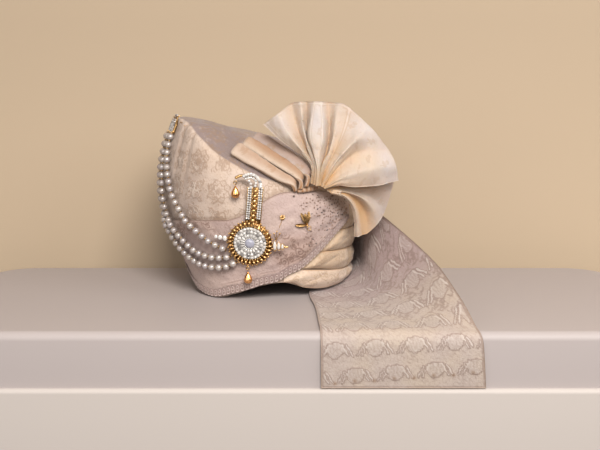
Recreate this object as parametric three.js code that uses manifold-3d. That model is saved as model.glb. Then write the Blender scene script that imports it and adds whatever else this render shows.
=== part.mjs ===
// Ready-tied turban (pagri) with a pleated fan, a brocade tail, strings of pearls and a gold brooch.
// Millimetres, +Z up. The origin is the centre of the head opening, level with the lowest part of
// the rim. The forehead side faces -Y, the high peak is at -X and the tail leaves at +X.
import * as THREE from 'three';
import { mergeVertices } from 'three/addons/utils/BufferGeometryUtils.js';
import Module from 'manifold-3d';

// ---------------------------------------------------------------- driving dimensions (mm)
const HEAD_HALF_X = 80;        // half width of the head opening
const HEAD_HALF_Y = 97;        // half length of the head opening
const HEAD_DEPTH = 140;        // height of the hollow over the head's middle
const HEAD_TILT = 0.22;        // the hollow's top rises towards the peak
const WALL_PAD = 21;           // wound and padded wall round the hollow
const APEX = { x: -22, y: 4, z: 174 };   // middle of the crown's top
const ROOF_BUMP = 3;
const SKIN_GAP = 0.8;          // space between one cloth layer and the next
const BAND_THICK = 1.6;        // front band at its edges
const BAND_PUFF = 1.8;         // and how far it swells between them
const BORDER_WIDTH = 7.5;      // scalloped lace border on the band
const BORDER_THICK = 1.2;
const WRAP_THICK = 6.8;        // puffy side wraps
const REAR_THICK = 2.6;        // upright wrap that covers the ends at the back
const CLOTH = 2.2;             // fan, lobe and pleat cloth, doubled
const TAIL_THICK = 1.8;        // brocade tail
const PEARL_D = 8.0;
const PEARL_PITCH = 9.4;
const THREAD_D = 1.6;
const BROOCH_R = 22.4;         // bead ring, to the middle of the beads
const BROOCH_BEADS = 28;
const BEAD_R = 3.0;
const STEM_HALF = 8.6;         // half width of the brooch's stem
const DROP_W = 9.6;
const DROP_H = 14.0;

// ---------------------------------------------------------------- colours
const COLOURS = {
  brocade: { c: 0xd9c6b4, r: 0.7, m: 0.0 }, band: { c: 0xdac7c0, r: 0.72, m: 0.0 },
  wrap: { c: 0xe0c8a4, r: 0.7, m: 0.0 }, fan: { c: 0xeedac2, r: 0.62, m: 0.0 },
  tail: { c: 0xc9b8ad, r: 0.66, m: 0.0 }, lace: { c: 0xcbb8b0, r: 0.75, m: 0.0 },
  gold: { c: 0xc99a4a, r: 0.28, m: 1.0 }, pearl: { c: 0xe2d6d2, r: 0.22, m: 0.0 },
  crystal: { c: 0xdfe2e4, r: 0.08, m: 0.0 }, stone: { c: 0xa9a9b8, r: 0.2, m: 0.0 },
};

// ---------------------------------------------------------------- the crown's shape
// A row per direction round the head, counted from +X through the back (+Y): the radius at the
// rim and at 30, 55, 80 and 100 % of the wall's height, and the heights of the rim and the crest.
const CROWN = [
  // deg foot  low  mid high crest rim crestZ
  [0, 93, 96, 97, 97, 93, 8, 124],
  [30, 95, 99, 101, 100, 96, 4, 132],
  [60, 102, 107, 109, 108, 100, 1, 147],
  [90, 106, 112, 114, 113, 103, 0, 161],
  [120, 105, 114, 119, 118, 106, 1, 174],
  [150, 100, 115, 122, 118, 107, 12, 188],
  [180, 96, 117.5, 124, 118.5, 108, 28, 197],
  [200, 95, 118.5, 125, 118, 105, 18, 197],
  [213, 100, 118.5, 126, 119, 105.5, 10, 191],
  [226, 108, 118, 127, 121, 108, 3, 179],
  [240, 114, 120, 125, 122, 108, 0, 161],
  [253, 115, 120, 123, 120, 109, 7, 149],
  [268, 113, 118, 120, 118, 109, 17, 137],
  [280, 110, 116, 118, 116, 107, 19, 131],
  [295, 104, 110, 113, 112, 104, 10, 126],
  [312, 98, 103, 106, 106, 101, 5, 122],
  [335, 93, 97, 99, 99, 95, 5, 121],
];
const WALL_LEVELS = [0, 0.3, 0.55, 0.8, 1];

// Front band: lower edge, upper edge and how far it is lifted by the wraps that it covers.
const BAND = [
  // deg zLow zHigh lift
  [168, 25, 66, 0], [180, 29, 72, 0], [200, 19, 80, 0], [213, 11, 84, 0],
  [226, 4, 88, 0], [240, 1, 91, 0], [253, 8, 94, 0], [262, 13.5, 104, 0],
  [269, 18.5, 114, 0], [276, 21, 121, 0.4], [283, 29, 123, 1.6], [290, 35, 122.5, 2.6],
  [297, 45, 122, 3.0], [304, 55, 121, 3.0], [314, 68, 117.5, 3.0], [326, 78, 111, 3.0],
  [336, 84, 103, 3.0],
];

// Side wraps, lowest first: lower and upper edge at each direction (over 360 = past +X, to the back).
const WRAPS = [
  [[280, 20, 30], [286, 18.5, 34], [291, 13, 33], [300, 9, 31], [318, 6.2, 26], [344, 7, 21],
    [360, 9.2, 20.5], [390, 5.2, 20], [420, 2.4, 20], [450, 1.4, 21], [480, 2.2, 22], [505, 9, 26]],
  [[289, 34, 38], [296, 33.5, 46], [304, 31.5, 50.5], [318, 26.6, 49], [344, 21.6, 45],
    [360, 21.1, 43.5], [390, 20.6, 43], [420, 20.6, 43], [450, 21.6, 44], [480, 22.6, 46], [505, 26.6, 48]],
  [[297, 47, 58], [306, 51.2, 68], [318, 49.6, 71.5], [344, 45.6, 68.5], [360, 44.1, 66.5],
    [390, 43.6, 66], [420, 43.6, 66], [450, 44.6, 67], [480, 46.6, 69], [505, 48.6, 71]],
  [[308, 69, 80], [318, 72.1, 88], [330, 71, 93], [344, 69.1, 96], [360, 67.1, 96],
    [390, 66.6, 94], [420, 66.6, 93], [450, 67.6, 93], [480, 69.6, 94], [505, 71.6, 95]],
];
const WRAP_END = { thinFrom: 484, thinAt: 494, thin: 2.0 };
// Upright wrap at the back: direction, inner offset.
const REAR = [[495, 6.2], [506, 6.0], [512, 2.8], [519, 0.8]];

// ---------------------------------------------------------------- folds
// Fan: a row per fold line, from the knot out to the edge, five points of x, y, z.
const FAN = [
  ['hem', 50.1, -110, 133, 51.2, -108, 150.7, 36.7, -99, 164.1, 17.6, -90, 176.6, -4, -80, 195.4],
  ['ridge', 51.2, -112, 132.1, 52.2, -112, 152.3, 38.9, -105, 170.5, 24.4, -97, 187.5, 12, -86, 207.2],
  ['valley', 52.3, -109, 131.7, 54, -104, 151.3, 47.4, -92, 165.5, 37.2, -82, 185.9, 27.6, -76, 219.2],
  ['tube', 53.4, -112, 131, 54.8, -110, 151, 48.4, -101, 168.9, 42.3, -92, 189.2, 37.8, -82, 221.4],
  ['slit', 54.5, -109, 130.6, 55.7, -102, 148.7, 50.2, -88, 166.2, 45.7, -80, 184.5, 45.7, -76, 220.9],
  ['panel_l', 55.6, -113, 130, 56.6, -112, 149, 51.7, -106, 168.4, 47.3, -98, 187.6, 53.5, -84, 221.6],
  ['panel_r', 57.8, -113, 130, 59.5, -112, 149, 61.7, -106, 168.4, 65.2, -98, 187.6, 62.5, -84, 221.6],
  ['hollow', 59, -109, 130, 61.8, -104, 149, 68.2, -88, 165, 70.5, -84, 185, 70.4, -80, 220.7],
  ['roll', 60.1, -112, 129.9, 63.4, -110, 149.8, 71.3, -102, 170.1, 75.8, -95, 190.7, 80.4, -85, 220.5],
  ['crease', 61.2, -109, 128.9, 66.9, -104, 147.9, 77, -97, 168.4, 83.8, -92, 188.1, 90.5, -86, 218.1],
  ['panel', 62.3, -112, 128.8, 74.6, -109, 151.9, 92.3, -106, 172.9, 106.9, -101, 186.8, 117.9, -92, 193.1],
  ['dent', 63.5, -110, 127.9, 80.3, -103, 148.9, 97.2, -97, 162.8, 114.1, -95, 168.2, 138.2, -86, 167.1],
  ['fold', 64.5, -113, 127.8, 83.4, -113, 138.5, 103.5, -111, 145.5, 125, -104, 149, 146.7, -88, 148],
  ['hem_low', 65.2, -112, 126.4, 80, -111, 130.3, 98.2, -107, 127.8, 122.1, -99, 127.8, 149.4, -84, 132],
];
const LOBE = [
  ['back_hem', 67.5, -104, 124.6, 88.4, -95, 129.5, 112.6, -84, 131.5, 131.4, -74, 132, 146, -68, 130],
  ['under', 68, -105, 124.2, 89, -97, 125, 113, -86, 123, 131, -74, 119, 142, -66, 114],
  ['back', 68.5, -106, 123.7, 89.5, -98, 122.2, 112.8, -82, 115.1, 128.5, -68, 103.6, 134.9, -60, 89.5],
  ['wide_r', 69.5, -107, 123.3, 90.6, -99, 120.6, 109.2, -87, 111.3, 121.4, -74, 96.5, 127.8, -64, 78.5],
  ['wide_m', 70.5, -106, 122.9, 90.8, -96, 118.8, 105.1, -80, 106.4, 113.7, -69, 89.7, 116.4, -64, 67.9],
  ['slit', 71.5, -106, 122.5, 89.6, -97, 117.6, 101.4, -83, 105.6, 107.1, -73, 88, 109.6, -66, 66],
  ['tube', 72.5, -107, 122.1, 88, -102, 116.8, 98, -91, 104.4, 102.9, -81, 87.6, 104.6, -74, 65.3],
  ['left_hem', 73.5, -106, 121.7, 86.8, -100, 115.4, 95.2, -88, 103, 99.2, -78, 86, 100.1, -70, 65.1],
];
// Side pleats: flattened tubes from the knot over the crest. Columns: centre line x, y, z at six places.
const PLEATS = [
  ['side_pleat_1', [33.3, -111, 124.5], [29, -111, 134], [13.5, -104, 141], [-5, -97, 151.5], [-21.3, -89.2, 160.3], [-36.4, -80.6, 169.3]],
  ['side_pleat_2', [38.5, -111, 126], [37.5, -107.5, 139], [23.5, -97.5, 149.5], [5, -84.5, 159], [-11.6, -73.4, 168.6], [-25.5, -66.2, 174.6]],
  ['side_pleat_3', [44.5, -110, 128.5], [45.5, -104.5, 143.5], [32, -91, 155.5], [14, -75, 165], [-2, -61, 174], [-15, -53.6, 178.2]],
];
// Half width across each fold, along its length.
const PLEAT_HALF = [[3.4, 5, 6.6, 7.4, 8.6, 9.4], [3.4, 5, 6.6, 7.2, 7.6, 7.6], [3.4, 5, 6.6, 7.2, 7.4, 7.2]];
const PLEAT_DEPTH = [2.2, 2.8, 3.2, 3.6, 3.8, 3.6];  // half thickness
// Tail, where it lies on the wraps at the back: direction, offset from the crown, then the heights of
// the lower edge, two places between and the upper edge.
const TAIL_WRAP = [
  [503, 3.6, 34, 46, 58, 70], [495, 3.8, 32, 46, 60, 74], [489, 6.6, 31, 46, 61, 76], [483, 9.6, 30, 46, 62, 78],
  [472, 9.8, 28, 46, 64, 81], [460, 9.8, 26, 45, 66, 84], [448, 9.8, 24, 45, 66, 86], [436, 9.8, 21, 44, 67, 89],
  [424, 9.8, 17, 43, 67, 91], [412, 10, 13, 41, 67, 93], [401, 10.4, 9, 38, 66, 94], [390, 11, 6, 35, 65, 95],
];
// Tail, where it hangs free and lies in front: a row per station to the hem: lower (then left) edge,
// foot, slope and upper (then right) edge, each x, y, z.
const TAIL = [
  [96, 33, 2.6, 106.5, 31, 30, 108, 31, 63, 108.5, 31, 95],
  [90, 10, 2.2, 109.5, 8.5, 22, 113, 9, 58, 118, 9, 91],
  [77, -22, 2, 109.5, -20, 12, 119.5, -18, 49, 131, -14, 84],
  [63, -46, 1.9, 109.5, -46, 6, 129, -45, 37, 146, -40, 75],
  [50, -70, 1.9, 109, -73, 3.5, 138, -72, 30, 160, -64, 66],
  [49, -104, 1.9, 109, -106, 2.4, 148, -104, 23, 176, -95, 55],
  [53.5, -145, 1.9, 112, -146, 1.9, 158, -143, 17, 191, -135, 44],
  [55.8, -182, 1.9, 114, -182, 1.9, 165, -179, 12, 201, -173, 33],
  [57.2, -220, 1.9, 115, -220, 1.9, 170, -219, 5, 212, -215, 18],
  [58.2, -248, 1.9, 115, -248, 1.9, 171, -248, 1.9, 220, -246, 3],
  [58.6, -259, -1.6, 115, -259, -1.6, 171, -259, -1.6, 223.5, -259, -1.6],
  [59, -264, -10, 115, -264, -10, 171, -264, -10, 226, -264, -10],
  [59.3, -265.5, -34, 115, -265.5, -34, 172, -265.5, -34, 228, -265.5, -34],
  [59.5, -265.5, -58, 115, -265.5, -58, 172, -265.5, -58, 229.5, -265.5, -58],
];
// Strings of pearls: a row per place on the crown, direction and height.
const STRANDS = [
  ['pearl_strand_inner', [[199, 181.4], [199.1, 170], [200, 159.6], [202.7, 150.6], [204.8, 142.3], [207.6, 133.6], [210.1, 125.8], [212.5, 118], [215.5, 110.2], [219.1, 102.7], [222.1, 95.2], [226.7, 87.9], [231.2, 81.3], [235.4, 75.2], [239.6, 68.9], [244.3, 64], [250, 59.2]]],
  ['pearl_strand_middle', [[193.9, 181], [193.7, 165], [193.9, 151], [196.4, 139], [197.8, 131], [199.2, 121.4], [199.6, 111.2], [200.9, 101.5], [202.8, 92.5], [206.4, 84.2], [212, 76.9], [216.7, 69.9], [220.9, 64], [225.3, 58.4], [230, 53.3], [235.5, 50.6], [240.7, 49], [245.4, 49.2], [252, 51.5]]],
  ['pearl_strand_outer', [[188.9, 180], [188.8, 165], [189, 150], [190.5, 138], [192.3, 124], [193, 111], [194.2, 100], [196.9, 89], [203.3, 76.2], [208, 68.4], [211.4, 60.6], [215.4, 54.5], [220.2, 48.7], [225, 44.1], [230.1, 40.2], [235.2, 38.2], [240.2, 37.5], [245, 37.8], [249.8, 39.9], [255, 45.9]]],
];

// ---------------------------------------------------------------- curves through tables
const D2R = Math.PI / 180;
const hermite = (y0, m0, y1, m1, s, h) => {
  const s2 = s * s, s3 = s2 * s;
  return (2 * s3 - 3 * s2 + 1) * y0 + (s3 - 2 * s2 + s) * h * m0 + (3 * s2 - 2 * s3) * y1 + (s3 - s2) * h * m1;
};
function slopes(x, y) {
  const n = x.length, m = new Array(n).fill(0);
  for (let i = 0; i < n; i++) {
    if (i === 0) m[i] = (y[1] - y[0]) / (x[1] - x[0]);
    else if (i === n - 1) m[i] = (y[n - 1] - y[n - 2]) / (x[n - 1] - x[n - 2]);
    else {
      const a = x[i] - x[i - 1], b = x[i + 1] - x[i];
      m[i] = ((y[i] - y[i - 1]) / a * b + (y[i + 1] - y[i]) / b * a) / (a + b);
    }
  }
  return m;
}
function curve(x, y) {
  const m = slopes(x, y), n = x.length;
  return (t) => {
    if (t <= x[0]) return y[0] + (t - x[0]) * m[0];
    if (t >= x[n - 1]) return y[n - 1] + (t - x[n - 1]) * m[n - 1];
    let i = 0;
    while (i < n - 2 && t > x[i + 1]) i++;
    const h = x[i + 1] - x[i];
    return hermite(y[i], m[i], y[i + 1], m[i + 1], (t - x[i]) / h, h);
  };
}
const column = (rows, k) => rows.map((r) => r[k]);
function around(rows, k) {                 // periodic over 360 degrees
  const x = column(rows, 0), y = column(rows, k);
  const f = curve([...x.map((v) => v - 360), ...x, ...x.map((v) => v + 360)], [...y, ...y, ...y]);
  return (deg) => f(((deg % 360) + 360) % 360);
}
const crownCol = [1, 2, 3, 4, 5].map((k) => around(CROWN, k));
const rimZ = around(CROWN, 6), crestZ = around(CROWN, 7);
const bandLow = curve(column(BAND, 0), column(BAND, 1));
const bandHigh = curve(column(BAND, 0), column(BAND, 2));
const linear = (rows, k) => (t) => {
  if (t <= rows[0][0]) return rows[0][k];
  for (let i = 1; i < rows.length; i++) {
    if (t <= rows[i][0]) return THREE.MathUtils.lerp(rows[i - 1][k], rows[i][k], (t - rows[i - 1][0]) / (rows[i][0] - rows[i - 1][0]));
  }
  return rows[rows.length - 1][k];
};
const lifted = linear(BAND, 3);
const bandLift = (deg) => SKIN_GAP + lifted(deg);
const clamp = THREE.MathUtils.clamp;

function wallRadius(deg, f) {
  const y = crownCol.map((c) => c(deg)), m = slopes(WALL_LEVELS, y);
  m[4] *= 1.6;
  let i = 0;
  while (i < 3 && f > WALL_LEVELS[i + 1]) i++;
  const h = WALL_LEVELS[i + 1] - WALL_LEVELS[i];
  return hermite(y[i], m[i], y[i + 1], m[i + 1], (f - WALL_LEVELS[i]) / h, h);
}
const polar = (deg, r, z) => new THREE.Vector3(r * Math.cos(deg * D2R), r * Math.sin(deg * D2R), z);
const onWall = (deg, z, off) => polar(deg, wallRadius(deg, (z - rimZ(deg)) / (crestZ(deg) - rimZ(deg))) + off, z);

// ---------------------------------------------------------------- building closed solids
const group = new THREE.Group();
const materials = {};
for (const [k, v] of Object.entries(COLOURS)) materials[k] = new THREE.MeshStandardMaterial({ color: v.c, roughness: v.r, metalness: v.m, name: k });

function solid(points, faces) {
  const g = new THREE.BufferGeometry();
  const flat = new Float32Array(points.length * 3);
  points.forEach((p, i) => flat.set([p.x, p.y, p.z], 3 * i));
  let volume = 0;
  for (const [a, b, c] of faces) volume += points[a].dot(new THREE.Vector3().crossVectors(points[b], points[c]));
  const order = volume < 0 ? faces.map(([a, b, c]) => [a, c, b]) : faces;
  g.setAttribute('position', new THREE.BufferAttribute(flat, 3));
  g.setIndex(order.flat());
  return g;
}
// A sheet with a front and a back grid, closed along its four edges.
function sheet(front, back) {
  const n = front.length, m = front[0].length, pts = [], faces = [];
  for (const grid of [front, back]) for (const row of grid) for (const p of row) pts.push(p);
  const id = (s, i, j) => s * n * m + i * m + j;
  const quad = (a, b, c, d) => faces.push([a, b, c], [a, c, d]);
  for (let i = 0; i < n - 1; i++) for (let j = 0; j < m - 1; j++) {
    quad(id(0, i, j), id(0, i + 1, j), id(0, i + 1, j + 1), id(0, i, j + 1));
    quad(id(1, i, j), id(1, i, j + 1), id(1, i + 1, j + 1), id(1, i + 1, j));
  }
  for (let i = 0; i < n - 1; i++) {
    quad(id(0, i, 0), id(1, i, 0), id(1, i + 1, 0), id(0, i + 1, 0));
    quad(id(0, i, m - 1), id(0, i + 1, m - 1), id(1, i + 1, m - 1), id(1, i, m - 1));
  }
  for (let j = 0; j < m - 1; j++) {
    quad(id(0, 0, j), id(0, 0, j + 1), id(1, 0, j + 1), id(1, 0, j));
    quad(id(0, n - 1, j), id(1, n - 1, j), id(1, n - 1, j + 1), id(0, n - 1, j + 1));
  }
  return solid(pts, faces);
}
// A tube through rings of points; closed into a loop, or ended by two points.
function loft(rings, loop) {
  const m = rings[0].length, pts = rings.flat(), faces = [], n = rings.length;
  for (let i = 0; i < (loop ? n : n - 1); i++) for (let j = 0; j < m; j++) {
    const a = i * m + j, b = i * m + (j + 1) % m, c = ((i + 1) % n) * m + (j + 1) % m, d = ((i + 1) % n) * m + j;
    faces.push([a, b, c], [a, c, d]);
  }
  if (!loop) {
    const mid = (ring) => ring.reduce((s, p) => s.add(p), new THREE.Vector3()).multiplyScalar(1 / ring.length);
    const s = pts.push(mid(rings[0])) - 1, e = pts.push(mid(rings[n - 1])) - 1;
    for (let j = 0; j < m; j++) {
      faces.push([s, (j + 1) % m, j], [e, (n - 1) * m + j, (n - 1) * m + (j + 1) % m]);
    }
  }
  return solid(pts, faces);
}
function add(name, geometry, kind, frame) {
  const mesh = new THREE.Mesh(geometry, materials[kind]);
  mesh.name = name;
  if (frame) mesh.applyMatrix4(frame);
  group.add(mesh);
  return mesh;
}
const wasm = await Module();
wasm.setup();
function toSolid(geometry) {
  const g = geometry.clone();
  g.deleteAttribute('normal'); g.deleteAttribute('uv');
  const w = mergeVertices(g, 1e-4);
  return new wasm.Manifold(new wasm.Mesh({ numProp: 3, vertProperties: new Float32Array(w.attributes.position.array), triVerts: new Uint32Array(w.index.array) }));
}
function joined(geometries) {
  let all = null;
  for (const g of geometries) { const s = toSolid(g); all = all ? all.add(s) : s; }
  const out = all.getMesh(), g = new THREE.BufferGeometry();
  g.setAttribute('position', new THREE.BufferAttribute(new Float32Array(out.vertProperties), 3));
  g.setIndex(new THREE.BufferAttribute(new Uint32Array(out.triVerts), 1));
  return g;
}
const smooth = (t) => { const s = clamp(t, 0, 1); return s * s * (3 - 2 * s); };

// ---------------------------------------------------------------- crown: padded shell with its hollow
{
  const N = 60, WALL = 9, ROOF = 4, HOLE = 6;
  const pts = [], faces = [], ring = [];
  for (let i = 0; i < N; i++) ring.push(360 * i / N);
  const rows = [];
  for (let k = 0; k <= WALL; k++) rows.push(ring.map((d) => {
    const f = k / WALL, r = wallRadius(d, f);
    return polar(d, r, rimZ(d) + (crestZ(d) - rimZ(d)) * f);
  }));
  for (let k = 1; k <= ROOF; k++) rows.push(ring.map((d) => {
    const t = k / (ROOF + 1), c = polar(d, wallRadius(d, 1), crestZ(d));
    const p = c.lerp(new THREE.Vector3(APEX.x, APEX.y, APEX.z), t);
    p.z += ROOF_BUMP * Math.sin(Math.PI * t);
    return p;
  }));
  const inner = [];
  for (let k = 0; k < HOLE; k++) inner.push(ring.map((d) => {
    const t = k / HOLE * 0.96, a = d * D2R;
    const re = 1 / Math.hypot(Math.cos(a) / HEAD_HALF_X, Math.sin(a) / HEAD_HALF_Y);
    const wide = Math.max(re, wallRadius(d, 0.5) - WALL_PAD), c = Math.pow(Math.cos(Math.PI * t / 2), 0.5);
    const r = (re + (wide - re) * Math.pow(Math.sin(Math.PI * t), 2)) * c, x = r * Math.cos(a);
    return polar(d, r, rimZ(d) + (HEAD_DEPTH - HEAD_TILT * x - rimZ(d)) * Math.sin(Math.PI * t / 2));
  }));
  const all = [...inner.reverse(), ...rows];
  all.forEach((r) => pts.push(...r));
  for (let i = 0; i < all.length - 1; i++) for (let j = 0; j < N; j++) {
    const a = i * N + j, b = i * N + (j + 1) % N;
    faces.push([a, b, b + N], [a, b + N, a + N]);
  }
  const pin = pts.push(new THREE.Vector3(0, 0, HEAD_DEPTH)) - 1, pout = pts.push(new THREE.Vector3(APEX.x, APEX.y, APEX.z)) - 1;
  for (let j = 0; j < N; j++) {
    faces.push([pin, (j + 1) % N, j]);
    const b = (all.length - 1) * N;
    faces.push([pout, b + j, b + (j + 1) % N]);
  }
  add('crown', solid(pts, faces), 'brocade');
}

// ---------------------------------------------------------------- front band and its lace border
const bandOuter = (deg, z) => {
  const v = clamp((z - bandLow(deg)) / (bandHigh(deg) - bandLow(deg)), 0, 1);
  return bandLift(deg) + BAND_THICK + BAND_PUFF * Math.pow(Math.sin(Math.PI * v), 0.6) * Math.min(1, (336 - deg) / 12 + 0.15, (deg - 168) / 12 + 0.15);
};
{
  const N = 36, M = 7, a = BAND[0][0], b = BAND[BAND.length - 1][0], front = [], back = [];
  for (let i = 0; i <= N; i++) {
    const deg = a + (b - a) * i / N, lo = bandLow(deg), hi = bandHigh(deg);
    front.push([]); back.push([]);
    for (let j = 0; j <= M; j++) {
      const z = lo + (hi - lo) * j / M;
      front[i].push(onWall(deg, z, bandOuter(deg, z)));
      back[i].push(onWall(deg, z, bandLift(deg)));
    }
  }
  add('front_band', sheet(front, back), 'band');
}
{
  const N = 40, a = 196, b = 333, front = [], back = [];
  for (let i = 0; i <= N; i++) {
    const deg = a + (b - a) * i / N, slant = Math.abs(bandLow(deg + 1) - bandLow(deg - 1)) / 3.9;
    const lo = bandLow(deg) + 1.2, hi = lo + BORDER_WIDTH * Math.min(2, Math.hypot(1, slant)) * (0.5 + 0.5 * Math.min(1, (b - deg) / 8));
    front.push([]); back.push([]);
    for (const t of [0, 0.5, 1]) {
      const z = lo + (hi - lo) * t;
      front[i].push(onWall(deg, z, bandOuter(deg, z) + 0.35 + (t === 0.5 ? BORDER_THICK : BORDER_THICK * 0.6)));
      back[i].push(onWall(deg, z, bandOuter(deg, z) + 0.35));
    }
  }
  add('band_border', sheet(front, back), 'lace');
}

// ---------------------------------------------------------------- side wraps and the rear wrap
WRAPS.forEach((rows, w) => {
  const lo = curve(column(rows, 0), column(rows, 1)), hi = curve(column(rows, 0), column(rows, 2));
  const below = w && curve(column(WRAPS[w - 1], 0), column(WRAPS[w - 1], 2));
  const a = rows[0][0], b = rows[rows.length - 1][0], N = 26, M = 4, front = [], back = [];
  for (let i = 0; i <= N; i++) {
    const t = i / N, deg = a + (b - a) * (t < 0.3 ? t * 0.8 : 0.24 + (t - 0.3) * 0.76 / 0.7);
    front.push([]); back.push([]);
    for (let j = 0; j <= M; j++) {
      const foot0 = w ? Math.max(lo(deg), below(deg) + 0.7) : lo(deg);
      const v = j / M, z = foot0 + (hi(deg) - foot0) * v;
      const hid = bandLift(deg) - 0.5;
      const bare = deg > 336 ? 10 : (bandLow(deg) - z - 1.5);
      let off = THREE.MathUtils.lerp(Math.min(hid, 2.6), SKIN_GAP + WRAP_THICK, smooth(bare / 9));
      if (deg > 336) off = Math.min(off, THREE.MathUtils.lerp(2.6, SKIN_GAP + WRAP_THICK, smooth((deg - 336.5) / 9)));
      off = Math.min(off, THREE.MathUtils.lerp(SKIN_GAP + WRAP_THICK, WRAP_END.thin, smooth((deg - WRAP_END.thinFrom) / (WRAP_END.thinAt - WRAP_END.thinFrom))));
      const round = 0.22 + 0.78 * Math.pow(Math.sin(Math.PI * (0.04 + 0.92 * v)), 0.55);
      const foot = w === 0 && v < 0.3 ? 0.8 : 1;
      front[i].push(onWall(deg, z, Math.max(Math.min(SKIN_GAP + 0.9, hid), off * round * foot)));
      back[i].push(onWall(deg, z, SKIN_GAP));
    }
  }
  add(`side_wrap_${w}`, sheet(front, back), 'wrap');
});
{
  const N = 8, M = 8, a = REAR[0][0], b = REAR[REAR.length - 1][0], inner = linear(REAR, 1), front = [], back = [];
  for (let i = 0; i <= N; i++) {
    const base = a + (b - a) * i / N;
    front.push([]); back.push([]);
    for (let j = 0; j <= M; j++) {
      const v = j / M, deg = base, lo = rimZ(deg) + 1, hi = crestZ(deg) - 6, z = lo + (hi - lo) * v;
      const edge = 0.55 + 0.45 * Math.sin(Math.PI * clamp(i / N, 0, 1));
      const lift = THREE.MathUtils.lerp(inner(base), SKIN_GAP, smooth((z - 100) / 30));
      front[i].push(onWall(deg, z, lift + REAR_THICK * edge));
      back[i].push(onWall(deg, z, lift));
    }
  }
  add('rear_wrap', sheet(front, back), 'brocade');
}

// ---------------------------------------------------------------- fan, lobe, pleats, knot
function foldSheet(rows, steps, thick, along) {
  const lines = rows.map((r) => {
    const p = [];
    for (let k = 1; k < r.length; k += 3) p.push([r[k], r[k + 1], r[k + 2]]);
    const u = p.map((_, i) => i), f = [0, 1, 2].map((c) => curve(u, p.map((q) => q[c])));
    return (t) => f.map((g) => g(t * (p.length - 1)));
  });
  const front = [], back = [];
  for (let i = 0; i < lines.length - 1; i++) for (let s = 0; s < steps; s++) {
    front.push([]); back.push([]);
    const w = s / steps;
    for (let j = 0; j <= along; j++) {
      const a = lines[i](j / along), b = lines[i + 1](j / along);
      const p = a.map((v, k) => v + (b[k] - v) * w);
      front[front.length - 1].push(new THREE.Vector3(...p));
      back[back.length - 1].push(new THREE.Vector3(p[0], p[1] + thick, p[2]));
    }
  }
  const last = lines[lines.length - 1];
  front.push([]); back.push([]);
  for (let j = 0; j <= along; j++) {
    const p = last(j / along);
    front[front.length - 1].push(new THREE.Vector3(...p));
    back[back.length - 1].push(new THREE.Vector3(p[0], p[1] + thick, p[2]));
  }
  return sheet(front, back);
}
add('fan', foldSheet(FAN, 2, CLOTH, 9), 'fan');
add('fan_lobe', foldSheet(LOBE, 2, CLOTH, 8), 'fan');
for (const [k, [name, ...line]] of PLEATS.entries()) {
  const u = line.map((_, i) => i), f = [0, 1, 2].map((c) => curve(u, line.map((q) => q[c])));
  const half = curve(u, PLEAT_HALF[k]), depth = curve(u, PLEAT_DEPTH), rings = [], N = 12, M = 8;
  for (let i = 0; i <= N; i++) {
    const t = (line.length - 1) * i / N;
    const p = new THREE.Vector3(...f.map((g) => g(t))), q = new THREE.Vector3(...f.map((g) => g(t + 0.02)));
    const along = q.sub(p).normalize();
    const up = new THREE.Vector3(0, 0.55, 0.83).sub(new THREE.Vector3().copy(along).multiplyScalar(along.dot(new THREE.Vector3(0, 0.55, 0.83)))).normalize();
    const out = new THREE.Vector3().crossVectors(up, along).normalize();
    const ring = [];
    for (let j = 0; j < M; j++) {
      const a = 2 * Math.PI * j / M;
      ring.push(p.clone().addScaledVector(up, half(t) * Math.cos(a)).addScaledVector(out, depth(t) * Math.sin(a)));
    }
    rings.push(ring);
  }
  add(name, loft(rings, false), 'fan');
}

// ---------------------------------------------------------------- tail
{
  const M = 8, stations = TAIL_WRAP.map(([deg, off, ...z]) => z.flatMap((h) => onWall(deg, h, off).toArray()));
  stations.push(...TAIL);
  const u = stations.map((_, i) => i), f = [], last = stations.length - 1, steps = [];
  for (let k = 0; k < 12; k++) f.push(curve(u, column(stations, k)));
  for (let t = 0; t < TAIL_WRAP.length; t++) steps.push(t);
  for (let t = TAIL_WRAP.length; t <= last + 1e-9; t += 0.5) steps.push(t);
  const N = steps.length - 1, floor = TAIL_THICK / 2 + 0.1;
  const mid = steps.map((t) => {
    const v = f.map((g) => g(t)), g = [0, 1, 2].map((c) => curve([0, 1, 2, 3], [v[c], v[3 + c], v[6 + c], v[9 + c]]));
    return Array.from({ length: M + 1 }, (_, j) => {
      const p = new THREE.Vector3(...g.map((h) => h(3 * j / M)));
      if (t < last - 4.2) p.z = Math.max(p.z, floor);
      return p;
    });
  });
  const front = [], back = [];
  for (let i = 0; i <= N; i++) {
    front.push([]); back.push([]);
    for (let j = 0; j <= M; j++) {
      const a = mid[Math.min(N, i + 1)][j].clone().sub(mid[Math.max(0, i - 1)][j]);
      const b = mid[i][Math.min(M, j + 1)].clone().sub(mid[i][Math.max(0, j - 1)]);
      const n = new THREE.Vector3().crossVectors(b, a).normalize().multiplyScalar(TAIL_THICK / 2);
      front[i].push(mid[i][j].clone().sub(n)); back[i].push(mid[i][j].clone().add(n));
    }
  }
  add('tail', sheet(front, back), 'tail');
}

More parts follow.
